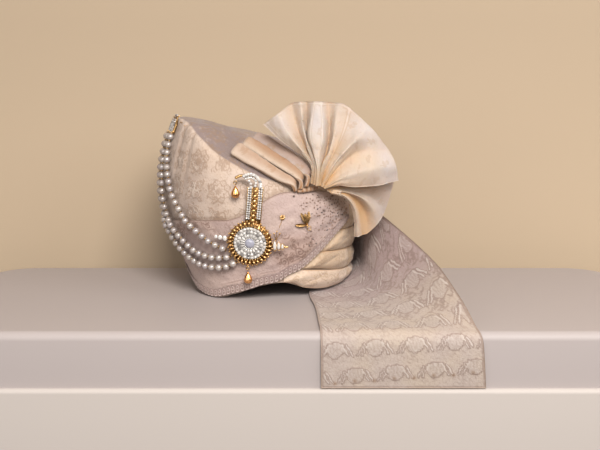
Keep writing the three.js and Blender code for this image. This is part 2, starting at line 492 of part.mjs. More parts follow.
// ---------------------------------------------------------------- strings of pearls
const beadOffset = (deg, z) => {
  const over = smooth((bandHigh(deg) + 4 - z) / 6) * (deg > 176 && deg < 330 ? 1 : 0);
  return SKIN_GAP + over * (BAND_THICK + BAND_PUFF + 0.5);
};
function frameAt(p, along) {
  const t = along.clone().normalize(), out = new THREE.Vector3(p.x, p.y, 0).normalize();
  out.addScaledVector(t, -out.dot(t)).normalize();
  return { t, out, side: new THREE.Vector3().crossVectors(t, out) };
}
function beadString(points, pitch, radius, neck, sides) {
  const path = new THREE.CatmullRomCurve3(points, false, 'centripetal');
  path.arcLengthDivisions = 600;
  const count = Math.round(path.getLength() / pitch), rings = [];
  pitch = path.getLength() / count;
  const levels = [[-0.45, 0.96], [0.45, 0.96]];
  const put = (s, r) => {
    const u = clamp(s / path.getLength(), 0, 1), p = path.getPointAt(u), { out, side } = frameAt(p, path.getTangentAt(u));
    rings.push(Array.from({ length: sides }, (_, j) => p.clone().addScaledVector(out, r * Math.cos(2 * Math.PI * j / sides)).addScaledVector(side, r * Math.sin(2 * Math.PI * j / sides))));
  };
  for (let i = 0; i < count; i++) {
    const s = pitch * (i + 0.5);
    put(s - pitch / 2, neck);
    for (const [d, k] of levels) put(s + d * radius, radius * k);
  }
  put(pitch * count, neck);
  return loft(rings, false);
}
for (const [name, rows] of STRANDS) {
  const pts = rows.map(([deg, z]) => onWall(deg, z, beadOffset(deg, z) + PEARL_D / 2 + 0.5));
  add(name, beadString(pts, PEARL_PITCH, PEARL_D / 2, THREAD_D / 2, 6), 'pearl');
}

// ---------------------------------------------------------------- clip at the peak
// A strip from the strings' ends up the wall and over the crest: height on the wall, then steps on to the top.
{
  const CLIP = { deg: 194, half: 8.5, wall: [183, 186, 189, 191.5, 194], top: [0.02, 0.05] };
  const across = [-1, -0.5, 0, 0.5, 1], front = [], back = [];
  for (const z of CLIP.wall) {
    front.push(across.map((s) => onWall(CLIP.deg + s * CLIP.half, z, 4.0 - 1.2 * Math.abs(s))));
    back.push(across.map((s) => onWall(CLIP.deg + s * CLIP.half, z, 1.3)));
  }
  for (const t of CLIP.top) {
    const at = (s, lift) => {
      const deg = CLIP.deg + s * CLIP.half, c = polar(deg, wallRadius(deg, 1), crestZ(deg)).lerp(new THREE.Vector3(APEX.x, APEX.y, APEX.z), t);
      const side = Math.max(0, 0.1 - t) * 34;
      return c.add(new THREE.Vector3(0, 0, ROOF_BUMP * Math.sin(Math.PI * t) + lift)).add(polar(deg, side, 0));
    };
    front.push(across.map((s) => at(s, 4.6 - 1.0 * Math.abs(s))));
    back.push(across.map((s) => at(s, 2.2)));
  }
  add('peak_clip', sheet(front, back), 'gold');
}

// ---------------------------------------------------------------- brooch
const SEAT = { deg: 262, z: 68, off: 6.2 };
function seatFrame(deg, z, off) {
  const o = onWall(deg, z, off), out = polar(deg, 1, 0), up = onWall(deg, z + 12, off).sub(onWall(deg, z - 12, off)).normalize();
  const right = new THREE.Vector3().crossVectors(up, out).normalize();
  const nrm = new THREE.Vector3().crossVectors(right, up).normalize();
  return new THREE.Matrix4().makeBasis(right, up, nrm).setPosition(o);
}
const brooch = seatFrame(SEAT.deg, SEAT.z, SEAT.off);
const inv = brooch.clone().invert();
const disc = (profile, n) => { const g = new THREE.LatheGeometry(profile.map(([r, z]) => new THREE.Vector2(r, z)), n); g.rotateX(Math.PI / 2); return g; };
const gem = (rx, ry, rz, x, y, z, n = 8) => {
  const g = new THREE.SphereGeometry(1, n, 5); g.rotateX(Math.PI / 2); g.scale(rx, ry, rz); g.translate(x, y, z); return g;
};
function bar(points, halfW, halfT) {
  const rings = points.map((p, i) => {
    const q = points[Math.min(points.length - 1, i + 1)].clone().sub(points[Math.max(0, i - 1)]).normalize();
    const out = new THREE.Vector3(0, 0, 1).addScaledVector(q, -q.z).normalize(), side = new THREE.Vector3().crossVectors(q, out);
    return [[-1, -1], [1, -1], [1, 1], [-1, 1]].map(([a, b]) => p.clone().addScaledVector(side, a * halfW).addScaledVector(out, b * halfT));
  });
  return loft(rings, false);
}
function tube(points, r, sides) {
  const rings = points.map((p, i) => {
    const q = points[Math.min(points.length - 1, i + 1)].clone().sub(points[Math.max(0, i - 1)]).normalize();
    const out = new THREE.Vector3(0, 0, 1).addScaledVector(q, -q.z).normalize(), side = new THREE.Vector3().crossVectors(q, out);
    return Array.from({ length: sides }, (_, j) => p.clone().addScaledVector(side, r * Math.cos(2 * Math.PI * j / sides)).addScaledVector(out, r * Math.sin(2 * Math.PI * j / sides)));
  });
  return loft(rings, false);
}
// Points of the stem and hook: x to the right of the stem's axis and height y, both in the brooch's plane.
const STEM_LEAN = [[20, 3.2, 0], [34, 4.6, -0.4], [48, 5.8, -2.2], [62, 6.6, -5.6]];           // y, x, depth
const HOOK = [[6.6, 62, -5.6], [6.9, 67.5, -7.2], [4.4, 71.6, -8.8], [-0.6, 73.6, -10], [-6.2, 74.2, -10.6], [-11.6, 74, -10.2], [-15.6, 72.4, -9]];
const lean = (y, k) => curve(column(STEM_LEAN, 0), column(STEM_LEAN, k))(y);
{
  const parts = [];
  parts.push(disc([[0, 0], [BROOCH_R + 2, 0], [BROOCH_R + 2, 1.4], [0, 1.4]], 20));
  const loopRings = [];
  const levels = [[-0.5, 0.45], [-0.2, 0.98], [0.2, 0.98]];
  for (let i = 0; i < BROOCH_BEADS; i++) for (const [d, k] of levels) {
    const a = 2 * Math.PI * (i + d) / BROOCH_BEADS, r = BEAD_R * k;
    loopRings.push(Array.from({ length: 5 }, (_, j) => {
      const b = 2 * Math.PI * j / 5;
      return new THREE.Vector3((BROOCH_R + r * Math.cos(b)) * Math.cos(a), (BROOCH_R + r * Math.cos(b)) * Math.sin(a), 3.2 + 0.85 * r * Math.sin(b));
    }));
  }
  parts.push(loft(loopRings, true));
  const stem = [];
  for (let y = 18; y <= 62; y += 11) stem.push(new THREE.Vector3(lean(y, 1), y, lean(y, 2) + 0.9));
  parts.push(bar(stem, STEM_HALF, 0.8));
  for (let i = 0; i < 6; i++) {
    const y = 29.5 + i * 5.9;
    parts.push(gem(2.6, 2.9, 2.8, lean(y, 1), y, lean(y, 2) + 3.2, 6));
  }
  parts.push(tube(HOOK.map(([x, y, z]) => new THREE.Vector3(x, y, z + 1.2)), 1.7, 6));
  parts.push(tube([[-15.6, 72.4, -7.8], [-16.2, 71.4, -6.4]].map((p) => new THREE.Vector3(...p)), 1.3, 6));
  // wings behind the side stones
  parts.push(bar([[21, -2.2, 0.8], [30, -2.6, 0.8], [39.4, -3.3, 0.4]].map((p) => new THREE.Vector3(...p)), 2.2, 0.8));
  parts.push(gem(1.8, 1.3, 1.4, 40.4, -3.4, 1.6, 6));
  parts.push(bar([[-21, 4.2, 0.8], [-29, 5.2, 0.6], [-37, 6, 0]].map((p) => new THREE.Vector3(...p)), 2.2, 0.8));
  add('brooch_base', joined(parts), 'gold', brooch);
  add('rosette_crystals', disc([[6.7, 1.7], [18.2, 1.7], [18.4, 3.0], [13.5, 4.6], [9, 4.9], [6.7, 3.6], [6.7, 1.7]], 24), 'crystal', brooch);
  add('centre_stone', disc([[0, 1.7], [6.1, 1.7], [6.2, 3.2], [4.6, 5.2], [2.2, 6.0], [0, 6.2]], 14), 'stone', brooch);
  const side = (s, from, to, extra) => {
    const pts = [];
    for (let y = from; y <= to; y += 8) pts.push(new THREE.Vector3(lean(y, 1) + s * 6.0, y, lean(y, 2) + 4.2));
    pts.push(...extra.map((p) => new THREE.Vector3(...p)));
    return tube(pts, 2.2, 6);
  };
  add('stem_crystals_left', side(-1, 28, 60, []), 'crystal', brooch);
  add('stem_crystals_right', side(1, 28, 60, [[12.6, 66, -1.6], [11.4, 70.5, -3.2], [7.6, 74.6, -4.6], [2, 76.6, -5.2], [-4.4, 75.9, -5]]), 'crystal', brooch);
  [[28, -2.4, 2.1, 5.8], [32.5, -2.8, 1.9, 4.4], [36.6, -3.1, 1.7, 3.2]].forEach(([x, y, rx, ry], i) =>
    add(`wing_stone_${i + 1}`, gem(rx, ry, 1.5, x, y, 3.6 - 0.2 * i), 'crystal', brooch));
  [[-28.2, 5, 2.4, 3.2], [-33.4, 5.7, 2.4, 2.8], [-38.2, 6.4, 1.9, 2.2]].forEach(([x, y, rx, ry], i) =>
    add(`left_stone_${i + 1}`, gem(rx, ry, 1.5, x, y, 3.4 - 0.4 * i), 'crystal', brooch));
}
// Two teardrops, each on a jump ring: at the hook's tip and under the bead ring.
function drop(tag, x, y, z, gap) {
  const ring = new THREE.TorusGeometry(1.9, 0.55, 5, 9);
  ring.translate(x, y - 2.6, z);
  add(`drop_link_${tag}`, ring, 'gold', brooch);
  const top = y - 5.4 - gap, profile = [[0, 0], [0.9, -0.8], [1.5, -3], [3.3, -7], [DROP_W / 2, -9.8], [3.4, -12.6], [1.4, -DROP_H + 0.3], [0, -DROP_H]];
  const g = new THREE.LatheGeometry(profile.map(([r, h]) => new THREE.Vector2(r, h)).reverse(), 10);
  g.translate(x, top, z);
  add(`drop_${tag}`, g, 'gold', brooch);
}
drop('upper', -16.4, 69.6, -5, 0.4);
drop('lower', -2.8, -26.2, 2.2, 1);

// ---------------------------------------------------------------- leaf motif and flower stud
{
  const f = seatFrame(291, 89, 8.2), parts = [];
  for (const [angle, len, w] of [[116, 16, 2.2], [98, 14, 1.8], [80, 16, 2.2], [176, 14, 1.9]]) {
    const g = new THREE.SphereGeometry(1, 6, 4);
    g.scale(len / 2, w, 0.8); g.translate(len / 2, 0, 0); g.rotateZ(angle * D2R);
    g.translate(1.2, -3, 0.2);
    parts.push(g);
  }
  parts.push(gem(1.7, 1.7, 1, 1.4, -3.2, 0.3, 8));
  const ring = new THREE.TorusGeometry(2.3, 0.6, 5, 9);
  ring.translate(4.0, -6.6, 0.3);
  parts.push(ring);
  add('leaf_motif', joined(parts), 'gold', f);
  add('flower_stud', disc([[0, 0], [3.2, 0], [3.4, 0.9], [1.7, 1.5], [0.9, 2.1], [0, 2.3]], 10), 'gold', seatFrame(278.5, 96, 5.0));
}

// ---------------------------------------------------------------- knot: gathered folds over the band's upper edge
{
  const rows = [[33, 121.5], [40, 122], [48, 122.5], [56, 123], [62.5, 123.5]];
  const rings = rows.map(([x, z], i) => {
    const r = [2.2, 3.2, 3.6, 3.2, 2.0][i], deg = Math.atan2(-104.5, x) / D2R;
    const c = onWall(deg, 121.5, 3.9 + 3.4).setZ(z + 1.6);
    return Array.from({ length: 8 }, (_, j) => {
      const a = 2 * Math.PI * j / 8, out = polar(deg, 1, 0);
      return c.clone().addScaledVector(out, r * 0.55 * Math.cos(a)).add(new THREE.Vector3(0, 0, r * 0.6 * Math.sin(a)));
    });
  });
  add('knot_gather', loft(rings, false), 'fan');
}

export default group;
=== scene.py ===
import bpy
import math
import numpy as np
from mathutils import Matrix


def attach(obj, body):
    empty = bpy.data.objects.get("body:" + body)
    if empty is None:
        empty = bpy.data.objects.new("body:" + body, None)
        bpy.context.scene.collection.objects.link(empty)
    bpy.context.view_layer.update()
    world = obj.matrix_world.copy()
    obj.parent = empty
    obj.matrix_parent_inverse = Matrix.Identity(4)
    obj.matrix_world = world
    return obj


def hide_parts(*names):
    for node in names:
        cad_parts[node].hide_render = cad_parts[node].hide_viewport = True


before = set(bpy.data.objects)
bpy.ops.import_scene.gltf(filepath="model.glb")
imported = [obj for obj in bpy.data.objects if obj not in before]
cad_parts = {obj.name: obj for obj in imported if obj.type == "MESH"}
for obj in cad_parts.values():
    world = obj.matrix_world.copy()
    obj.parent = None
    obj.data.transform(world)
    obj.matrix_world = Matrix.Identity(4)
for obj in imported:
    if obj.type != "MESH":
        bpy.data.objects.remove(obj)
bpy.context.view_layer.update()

# ------------------------------------------------------------------ small tools
MM = 0.001
D2R = math.pi / 180


def slopes(x, y):
    h = np.diff(x)
    d = np.diff(y, axis=0) / (h[:, None] if y.ndim > 1 else h)
    m = np.empty_like(y)
    m[0], m[-1] = d[0], d[-1]
    a, b = h[:-1], h[1:]
    if y.ndim > 1:
        a, b = a[:, None], b[:, None]
    m[1:-1] = (d[:-1] * b + d[1:] * a) / (a + b)
    return m


def spline(x, y, t):
    """Smooth curve through the rows (x, y), straight on past its ends."""
    x, y, t = np.asarray(x, float), np.asarray(y, float), np.asarray(t, float)
    m = slopes(x, y)
    i = np.clip(np.searchsorted(x, t, side="right") - 1, 0, len(x) - 2)
    h = x[i + 1] - x[i]
    s = (t - x[i]) / h
    if y.ndim > 1:
        h, s = h[..., None], s[..., None]
    c = np.clip(s, 0, 1)
    v = ((2 * c**3 - 3 * c**2 + 1) * y[i] + (c**3 - 2 * c**2 + c) * h * m[i]
         + (3 * c**2 - 2 * c**3) * y[i + 1] + (c**3 - c**2) * h * m[i + 1])
    return v + np.where(s < 0, s * h * m[i], 0) + np.where(s > 1, (s - 1) * h * m[i + 1], 0)


def smooth(t):
    t = np.clip(t, 0, 1)
    return t * t * (3 - 2 * t)


def lerp(a, b, t):
    return a + (b - a) * t


def unit(v):
    return v / np.maximum(np.linalg.norm(v, axis=-1, keepdims=True), 1e-9)


def wob(P, wave, seed, n=10):
    """Soft, smooth unevenness between about -1 and 1, with wavelengths round `wave` mm."""
    g = np.random.default_rng(seed)
    out = np.zeros(P.shape[:-1])
    for _ in range(n):
        k = unit(g.normal(size=3)) * 2 * math.pi / (wave * g.uniform(0.6, 1.7))
        out += np.sin(P @ k + g.uniform(0, 6.28))
    return out / math.sqrt(n) * 0.75


# ------------------------------------------------------------------ the turban's tables (mm, as in the CAD)
HEAD_HALF_X, HEAD_HALF_Y, HEAD_DEPTH, HEAD_TILT, WALL_PAD = 80, 97, 140, 0.22, 21
APEX = np.array([-22.0, 4, 174])
ROOF_BUMP, SKIN_GAP, BAND_THICK, BAND_PUFF = 3.0, 0.8, 1.6, 1.8
WRAP_THICK, TAIL_THICK, PEARL_D, PEARL_PITCH = 6.8, 1.8, 8.0, 9.4
# deg foot low mid high crest rim crestZ
CROWN = np.array([
    [0, 93, 96, 97, 97, 93, 8, 124], [30, 95, 99, 101, 100, 96, 4, 132], [60, 102, 107, 109, 108, 100, 1, 147],
    [90, 106, 112, 114, 113, 103, 0, 161], [120, 105, 114, 119, 118, 106, 1, 174], [150, 100, 115, 122, 118, 107, 12, 188],
    [180, 96, 117.5, 124, 118.5, 108, 28, 197], [200, 95, 118.5, 125, 118, 105, 18, 197], [213, 100, 118.5, 126, 119, 105.5, 10, 191],
    [226, 108, 118, 127, 121, 108, 3, 179], [240, 114, 120, 125, 122, 108, 0, 161], [253, 115, 120, 123, 120, 109, 7, 149],
    [268, 113, 118, 120, 118, 109, 17, 137], [280, 110, 116, 118, 116, 107, 19, 131], [295, 104, 110, 113, 112, 104, 10, 126],
    [312, 98, 103, 106, 106, 101, 5, 122], [335, 93, 97, 99, 99, 95, 5, 121]], float)
LEVELS = np.array([0, 0.3, 0.55, 0.8, 1])
# deg zLow zHigh lift
BAND = np.array([
    [168, 25, 66, 0], [180, 29, 72, 0], [200, 19, 80, 0], [213, 11, 84, 0], [226, 4, 88, 0], [240, 1, 91, 0],
    [253, 8, 94, 0], [262, 13.5, 104, 0], [269, 18.5, 114, 0], [276, 21, 121, 0.4], [283, 29, 123, 1.6],
    [290, 35, 122.5, 2.6], [297, 45, 122, 3.0], [304, 55, 121, 3.0], [314, 68, 117.5, 3.0], [326, 78, 111, 3.0],
    [336, 84, 103, 3.0]], float)
WRAPS = [
    [[280, 20, 30], [286, 18.5, 34], [291, 13, 33], [300, 9, 31], [318, 6.2, 26], [344, 7, 21], [360, 9.2, 20.5],
     [390, 5.2, 20], [420, 2.4, 20], [450, 1.4, 21], [480, 2.2, 22], [505, 9, 26]],
    [[289, 34, 38], [296, 33.5, 46], [304, 31.5, 50.5], [318, 26.6, 49], [344, 21.6, 45], [360, 21.1, 43.5],
     [390, 20.6, 43], [420, 20.6, 43], [450, 21.6, 44], [480, 22.6, 46], [505, 26.6, 48]],
    [[297, 47, 58], [306, 51.2, 68], [318, 49.6, 71.5], [344, 45.6, 68.5], [360, 44.1, 66.5], [390, 43.6, 66],
     [420, 43.6, 66], [450, 44.6, 67], [480, 46.6, 69], [505, 48.6, 71]],
    [[308, 69, 80], [318, 72.1, 88], [330, 71, 93], [344, 69.1, 96], [360, 67.1, 96], [390, 66.6, 94],
     [420, 66.6, 93], [450, 67.6, 93], [480, 69.6, 94], [505, 71.6, 95]]]
WRAPS = [np.array(w, float) for w in WRAPS]
REAR = np.array([[495, 6.2], [506, 6.0], [512, 2.8], [519, 0.8]], float)
# Fan: each fold line from the knot to the edge, five points of x, y, z.
FAN = [
    [50.1, -110, 133, 51.2, -108, 150.7, 36.7, -99, 164.1, 17.6, -90, 176.6, -4, -80, 195.4],
    [51.2, -112, 132.1, 52.2, -112, 152.3, 38.9, -105, 170.5, 24.4, -97, 187.5, 12, -86, 207.2],
    [52.3, -109, 131.7, 54, -104, 151.3, 47.4, -92, 165.5, 37.2, -82, 185.9, 27.6, -76, 219.2],
    [53.4, -112, 131, 54.8, -110, 151, 48.4, -101, 168.9, 42.3, -92, 189.2, 37.8, -82, 221.4],
    [54.5, -109, 130.6, 55.7, -102, 148.7, 50.2, -88, 166.2, 45.7, -80, 184.5, 45.7, -76, 220.9],
    [55.6, -113, 130, 56.6, -112, 149, 51.7, -106, 168.4, 47.3, -98, 187.6, 53.5, -84, 221.6],
    [57.8, -113, 130, 59.5, -112, 149, 61.7, -106, 168.4, 65.2, -98, 187.6, 62.5, -84, 221.6],
    [59, -109, 130, 61.8, -104, 149, 68.2, -88, 165, 70.5, -84, 185, 70.4, -80, 220.7],
    [60.1, -112, 129.9, 63.4, -110, 149.8, 71.3, -102, 170.1, 75.8, -95, 190.7, 80.4, -85, 220.5],
    [61.2, -109, 128.9, 66.9, -104, 147.9, 77, -97, 168.4, 83.8, -92, 188.1, 90.5, -86, 218.1],
    [62.3, -112, 128.8, 74.6, -109, 151.9, 92.3, -106, 172.9, 106.9, -101, 186.8, 117.9, -92, 193.1],
    [63.5, -110, 127.9, 80.3, -103, 148.9, 97.2, -97, 162.8, 114.1, -95, 168.2, 138.2, -86, 167.1],
    [64.5, -113, 127.8, 83.4, -113, 138.5, 103.5, -111, 145.5, 125, -104, 149, 146.7, -88, 148],
    [65.2, -112, 126.4, 80, -111, 130.3, 98.2, -107, 127.8, 122.1, -99, 127.8, 149.4, -84, 132]]
FAN_DEPTH = [0.2, 0, 1, 0, 1, 0, 0, 1, 0.1, 0.6, 0, 0.5, 0, 0.35]     # how far inside a fold each line lies
LOBE = [
    [67.5, -104, 124.6, 88.4, -95, 129.5, 112.6, -84, 131.5, 131.4, -74, 132, 146, -68, 130],
    [68, -105, 124.2, 89, -97, 125, 113, -86, 123, 131, -74, 119, 142, -66, 114],
    [68.5, -106, 123.7, 89.5, -98, 122.2, 112.8, -82, 115.1, 128.5, -68, 103.6, 134.9, -60, 89.5],
    [69.5, -107, 123.3, 90.6, -99, 120.6, 109.2, -87, 111.3, 121.4, -74, 96.5, 127.8, -64, 78.5],
    [70.5, -106, 122.9, 90.8, -96, 118.8, 105.1, -80, 106.4, 113.7, -69, 89.7, 116.4, -64, 67.9],
    [71.5, -106, 122.5, 89.6, -97, 117.6, 101.4, -83, 105.6, 107.1, -73, 88, 109.6, -66, 66],
    [72.5, -107, 122.1, 88, -102, 116.8, 98, -91, 104.4, 102.9, -81, 87.6, 104.6, -74, 65.3],
    [73.5, -106, 121.7, 86.8, -100, 115.4, 95.2, -88, 103, 99.2, -78, 86, 100.1, -70, 65.1]]
LOBE_DEPTH = [0.5, 0.4, 0.1, 0.1, 0.9, 1, 0.1, 0.3]
PLEATS = [
    [[33.3, -111, 124.5], [29, -111, 134], [13.5, -104, 141], [-5, -97, 151.5], [-21.3, -89.2, 160.3], [-36.4, -80.6, 169.3]],
    [[38.5, -111, 126], [37.5, -107.5, 139], [23.5, -97.5, 149.5], [5, -84.5, 159], [-11.6, -73.4, 168.6], [-25.5, -66.2, 174.6]],
    [[44.5, -110, 128.5], [45.5, -104.5, 143.5], [32, -91, 155.5], [14, -75, 165], [-2, -61, 174], [-15, -53.6, 178.2]]]
TAIL_WRAP = [
    [503, 3.6, 34, 46, 58, 70], [495, 3.8, 32, 46, 60, 74], [489, 6.6, 31, 46, 61, 76], [483, 9.6, 30, 46, 62, 78],
    [472, 9.8, 28, 46, 64, 81], [460, 9.8, 26, 45, 66, 84], [448, 9.8, 24, 45, 66, 86], [436, 9.8, 21, 44, 67, 89],
    [424, 9.8, 17, 43, 67, 91], [412, 10, 13, 41, 67, 93], [401, 10.4, 9, 38, 66, 94], [390, 11, 6, 35, 65, 95]]
TAIL = [
    [96, 33, 2.6, 106.5, 31, 30, 108, 31, 63, 108.5, 31, 95], [90, 10, 2.2, 109.5, 8.5, 22, 113, 9, 58, 118, 9, 91],
    [77, -22, 2, 109.5, -20, 12, 119.5, -18, 49, 131, -14, 84], [63, -46, 1.9, 109.5, -46, 6, 129, -45, 37, 146, -40, 75],
    [50, -70, 1.9, 109, -73, 3.5, 138, -72, 30, 160, -64, 66], [49, -104, 1.9, 109, -106, 2.4, 148, -104, 23, 176, -95, 55],
    [53.5, -145, 1.9, 112, -146, 1.9, 158, -143, 17, 191, -135, 44], [55.8, -182, 1.9, 114, -182, 1.9, 165, -179, 12, 201, -173, 33],
    [57.2, -220, 1.9, 115, -220, 1.9, 170, -219, 5, 212, -215, 18], [58.2, -248, 1.9, 115, -248, 1.9, 171, -248, 1.9, 220, -246, 3],
    [58.6, -259, -1.6, 115, -259, -1.6, 171, -259, -1.6, 223.5, -259, -1.6], [59, -264, -10, 115, -264, -10, 171, -264, -10, 226, -264, -10],
    [59.3, -265.5, -34, 115, -265.5, -34, 172, -265.5, -34, 228, -265.5, -34],
    [59.5, -265.5, -58, 115, -265.5, -58, 172, -265.5, -58, 229.5, -265.5, -58]]
STRANDS = {
    "inner": [[199, 181.4], [199.1, 170], [200, 159.6], [202.7, 150.6], [204.8, 142.3], [207.6, 133.6], [210.1, 125.8],
              [212.5, 118], [215.5, 110.2], [219.1, 102.7], [222.1, 95.2], [226.7, 87.9], [231.2, 81.3], [235.4, 75.2],
              [239.6, 68.9], [244.3, 64], [250, 59.2]],
    "middle": [[193.9, 181], [193.7, 165], [193.9, 151], [196.4, 139], [197.8, 131], [199.2, 121.4], [199.6, 111.2],
               [200.9, 101.5], [202.8, 92.5], [206.4, 84.2], [212, 76.9], [216.7, 69.9], [220.9, 64], [225.3, 58.4],
               [230, 53.3], [235.5, 50.6], [240.7, 49], [245.4, 49.2], [252, 51.5]],
    "outer": [[188.9, 180], [188.8, 165], [189, 150], [190.5, 138], [192.3, 124], [193, 111], [194.2, 100], [196.9, 89],
              [203.3, 76.2], [208, 68.4], [211.4, 60.6], [215.4, 54.5], [220.2, 48.7], [225, 44.1], [230.1, 40.2],
              [235.2, 38.2], [240.2, 37.5], [245, 37.8], [249.8, 39.9], [255, 45.9]]}


# ------------------------------------------------------------------ the crown's surface
def periodic(col):
    x, y = CROWN[:, 0], CROWN[:, col]
    X, Y = np.concatenate([x - 360, x, x + 360]), np.tile(y, 3)
    return lambda deg: spline(X, Y, np.mod(deg, 360))


RADII = [periodic(c) for c in range(1, 6)]
rim_z, crest_z = periodic(6), periodic(7)


def wall_radius(deg, f):
    deg, f = np.broadcast_arrays(np.asarray(deg, float), np.asarray(f, float))
    y = np.stack([r(deg) for r in RADII], 0)
    h = np.diff(LEVELS).reshape((-1,) + (1,) * deg.ndim)
    d = np.diff(y, axis=0) / h
    m = np.empty_like(y)
    m[0], m[4] = d[0], d[3] * 1.6
    m[1:-1] = (d[:-1] * h[1:] + d[1:] * h[:-1]) / (h[:-1] + h[1:])
    i = np.clip(np.searchsorted(LEVELS, f, side="right") - 1, 0, 3)
    hh = np.diff(LEVELS)[i]
    s = (f - LEVELS[i]) / hh
    pick = lambda a, k: np.take_along_axis(a, k[None], 0)[0]
    return ((2 * s**3 - 3 * s**2 + 1) * pick(y, i) + (s**3 - 2 * s**2 + s) * hh * pick(m, i)
            + (3 * s**2 - 2 * s**3) * pick(y, i + 1) + (s**3 - s**2) * hh * pick(m, i + 1))


def polar(deg, r, z):
    deg, r, z = np.broadcast_arrays(np.asarray(deg, float), r, z)
    return np.stack([r * np.cos(deg * D2R), r * np.sin(deg * D2R), z], -1)


def on_wall(deg, z, off=0.0):
    deg = np.asarray(deg, float)
    f = (z - rim_z(deg)) / (crest_z(deg) - rim_z(deg))
    return polar(deg, wall_radius(deg, f) + off, z)


def band_low(deg):
    return spline(BAND[:, 0], BAND[:, 1], deg)


def band_high(deg):
    return spline(BAND[:, 0], BAND[:, 2], deg)


def band_lift(deg):
    return SKIN_GAP + np.interp(deg, BAND[:, 0], BAND[:, 3])


def band_outer(deg, z):
    v = np.clip((z - band_low(deg)) / (band_high(deg) - band_low(deg)), 0, 1)
    ends = np.minimum(1, np.minimum((336 - deg) / 12 + 0.15, (deg - 168) / 12 + 0.15))
    return band_lift(deg) + BAND_THICK + BAND_PUFF * np.sin(math.pi * v) ** 0.6 * ends


# ------------------------------------------------------------------ meshes
class Build:
    """Points, faces, a flat cloth coordinate in mm, and per point the woven relief, the painted shade (on the tail also
    dark thread) and the second tone, which is partly painted shade.
    """

    def __init__(self):
        self.v, self.f, self.uv, self.ink, self.deep, self.tint, self.mat, self.n = [], [], [], [], [], [], [], 0

    def add(self, V, F, uv=None, ink=None, deep=None, mat=0, solid=True, tint=None):
        V = np.asarray(V, float).reshape(-1, 3)
        F = np.asarray(F, int)
        if solid:
            p = V - V.mean(0)
            vol = 0.0
            for k in range(1, F.shape[1] - 1):
                vol += np.einsum("ij,ij->i", p[F[:, 0]], np.cross(p[F[:, k]], p[F[:, k + 1]])).sum()
            if vol < 0:
                F = F[:, ::-1]
        k = len(V)
        self.v.append(V)
        self.f.append(F + self.n)
        self.uv.append(np.zeros((k, 2)) if uv is None else np.asarray(uv, float).reshape(-1, 2))
        self.ink.append(np.zeros(k) if ink is None else np.broadcast_to(np.asarray(ink, float).reshape(-1), (k,)))
        self.deep.append(np.zeros(k) if deep is None else np.broadcast_to(np.asarray(deep, float).reshape(-1), (k,)))
        self.tint.append(np.zeros(k) if tint is None else np.broadcast_to(np.asarray(tint, float).reshape(-1), (k,)))
        self.mat.append(np.full(len(F), mat))
        self.n += k

    def object(self, name, mats, nodes=(), flat=False):
        me = bpy.data.meshes.new(name)
        V = np.concatenate(self.v) * MM
        me.vertices.add(len(V))
        me.vertices.foreach_set("co", V.ravel())
        sizes = np.concatenate([np.full(len(f), f.shape[1]) for f in self.f])
        loops = np.concatenate([f.ravel() for f in self.f])
        me.loops.add(len(loops))
        me.loops.foreach_set("vertex_index", loops)
        me.polygons.add(len(sizes))
        me.polygons.foreach_set("loop_start", np.concatenate([[0], np.cumsum(sizes)[:-1]]))
        me.polygons.foreach_set("material_index", np.concatenate(self.mat))
        me.polygons.foreach_set("use_smooth", np.full(len(sizes), not flat))
        layer = me.uv_layers.new(name="cloth")
        layer.data.foreach_set("uv", (np.concatenate(self.uv)[loops] * 0.01).ravel())
        for key, data in (("ink", self.ink), ("deep", self.deep), ("tint", self.tint)):
            a = me.attributes.new(key, "FLOAT", "POINT")
            a.data.foreach_set("value", np.concatenate(data).astype(np.float32))
        me.update(calc_edges=True)
        me.validate()
        for m in (mats if isinstance(mats, (list, tuple)) else [mats]):
            me.materials.append(m)
        ob = bpy.data.objects.new(name, me)
        bpy.context.scene.collection.objects.link(ob)
        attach(ob, "root")
        if nodes:
            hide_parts(*nodes)
        return ob


def grid_faces(n, m, closed=False, start=0):
    i, j = np.meshgrid(np.arange(n - 1), np.arange(m if closed else m - 1), indexing="ij")
    k = (j + 1) % m
    return np.stack([i * m + j, (i + 1) * m + j, (i + 1) * m + k, i * m + k], -1).reshape(-1, 4) + start


def normals(P):
    a, b = np.gradient(P, axis=0), np.gradient(P, axis=1)
    return unit(np.cross(a, b))


def rounded(t, n, m, edge, w):
    """Thickness over an n by m sheet that thins to nothing at its edges like a folded hem."""
    def prof(k, on):
        d = np.minimum(np.arange(k), np.arange(k)[::-1]).astype(float)
        return np.clip(0.45 + 0.55 * np.sqrt(np.clip(d / w, 0, 1)), 0, 1) if on else np.ones(k)
    return t * np.minimum(prof(n, edge[0])[:, None], prof(m, edge[1])[None])


SIZES = []


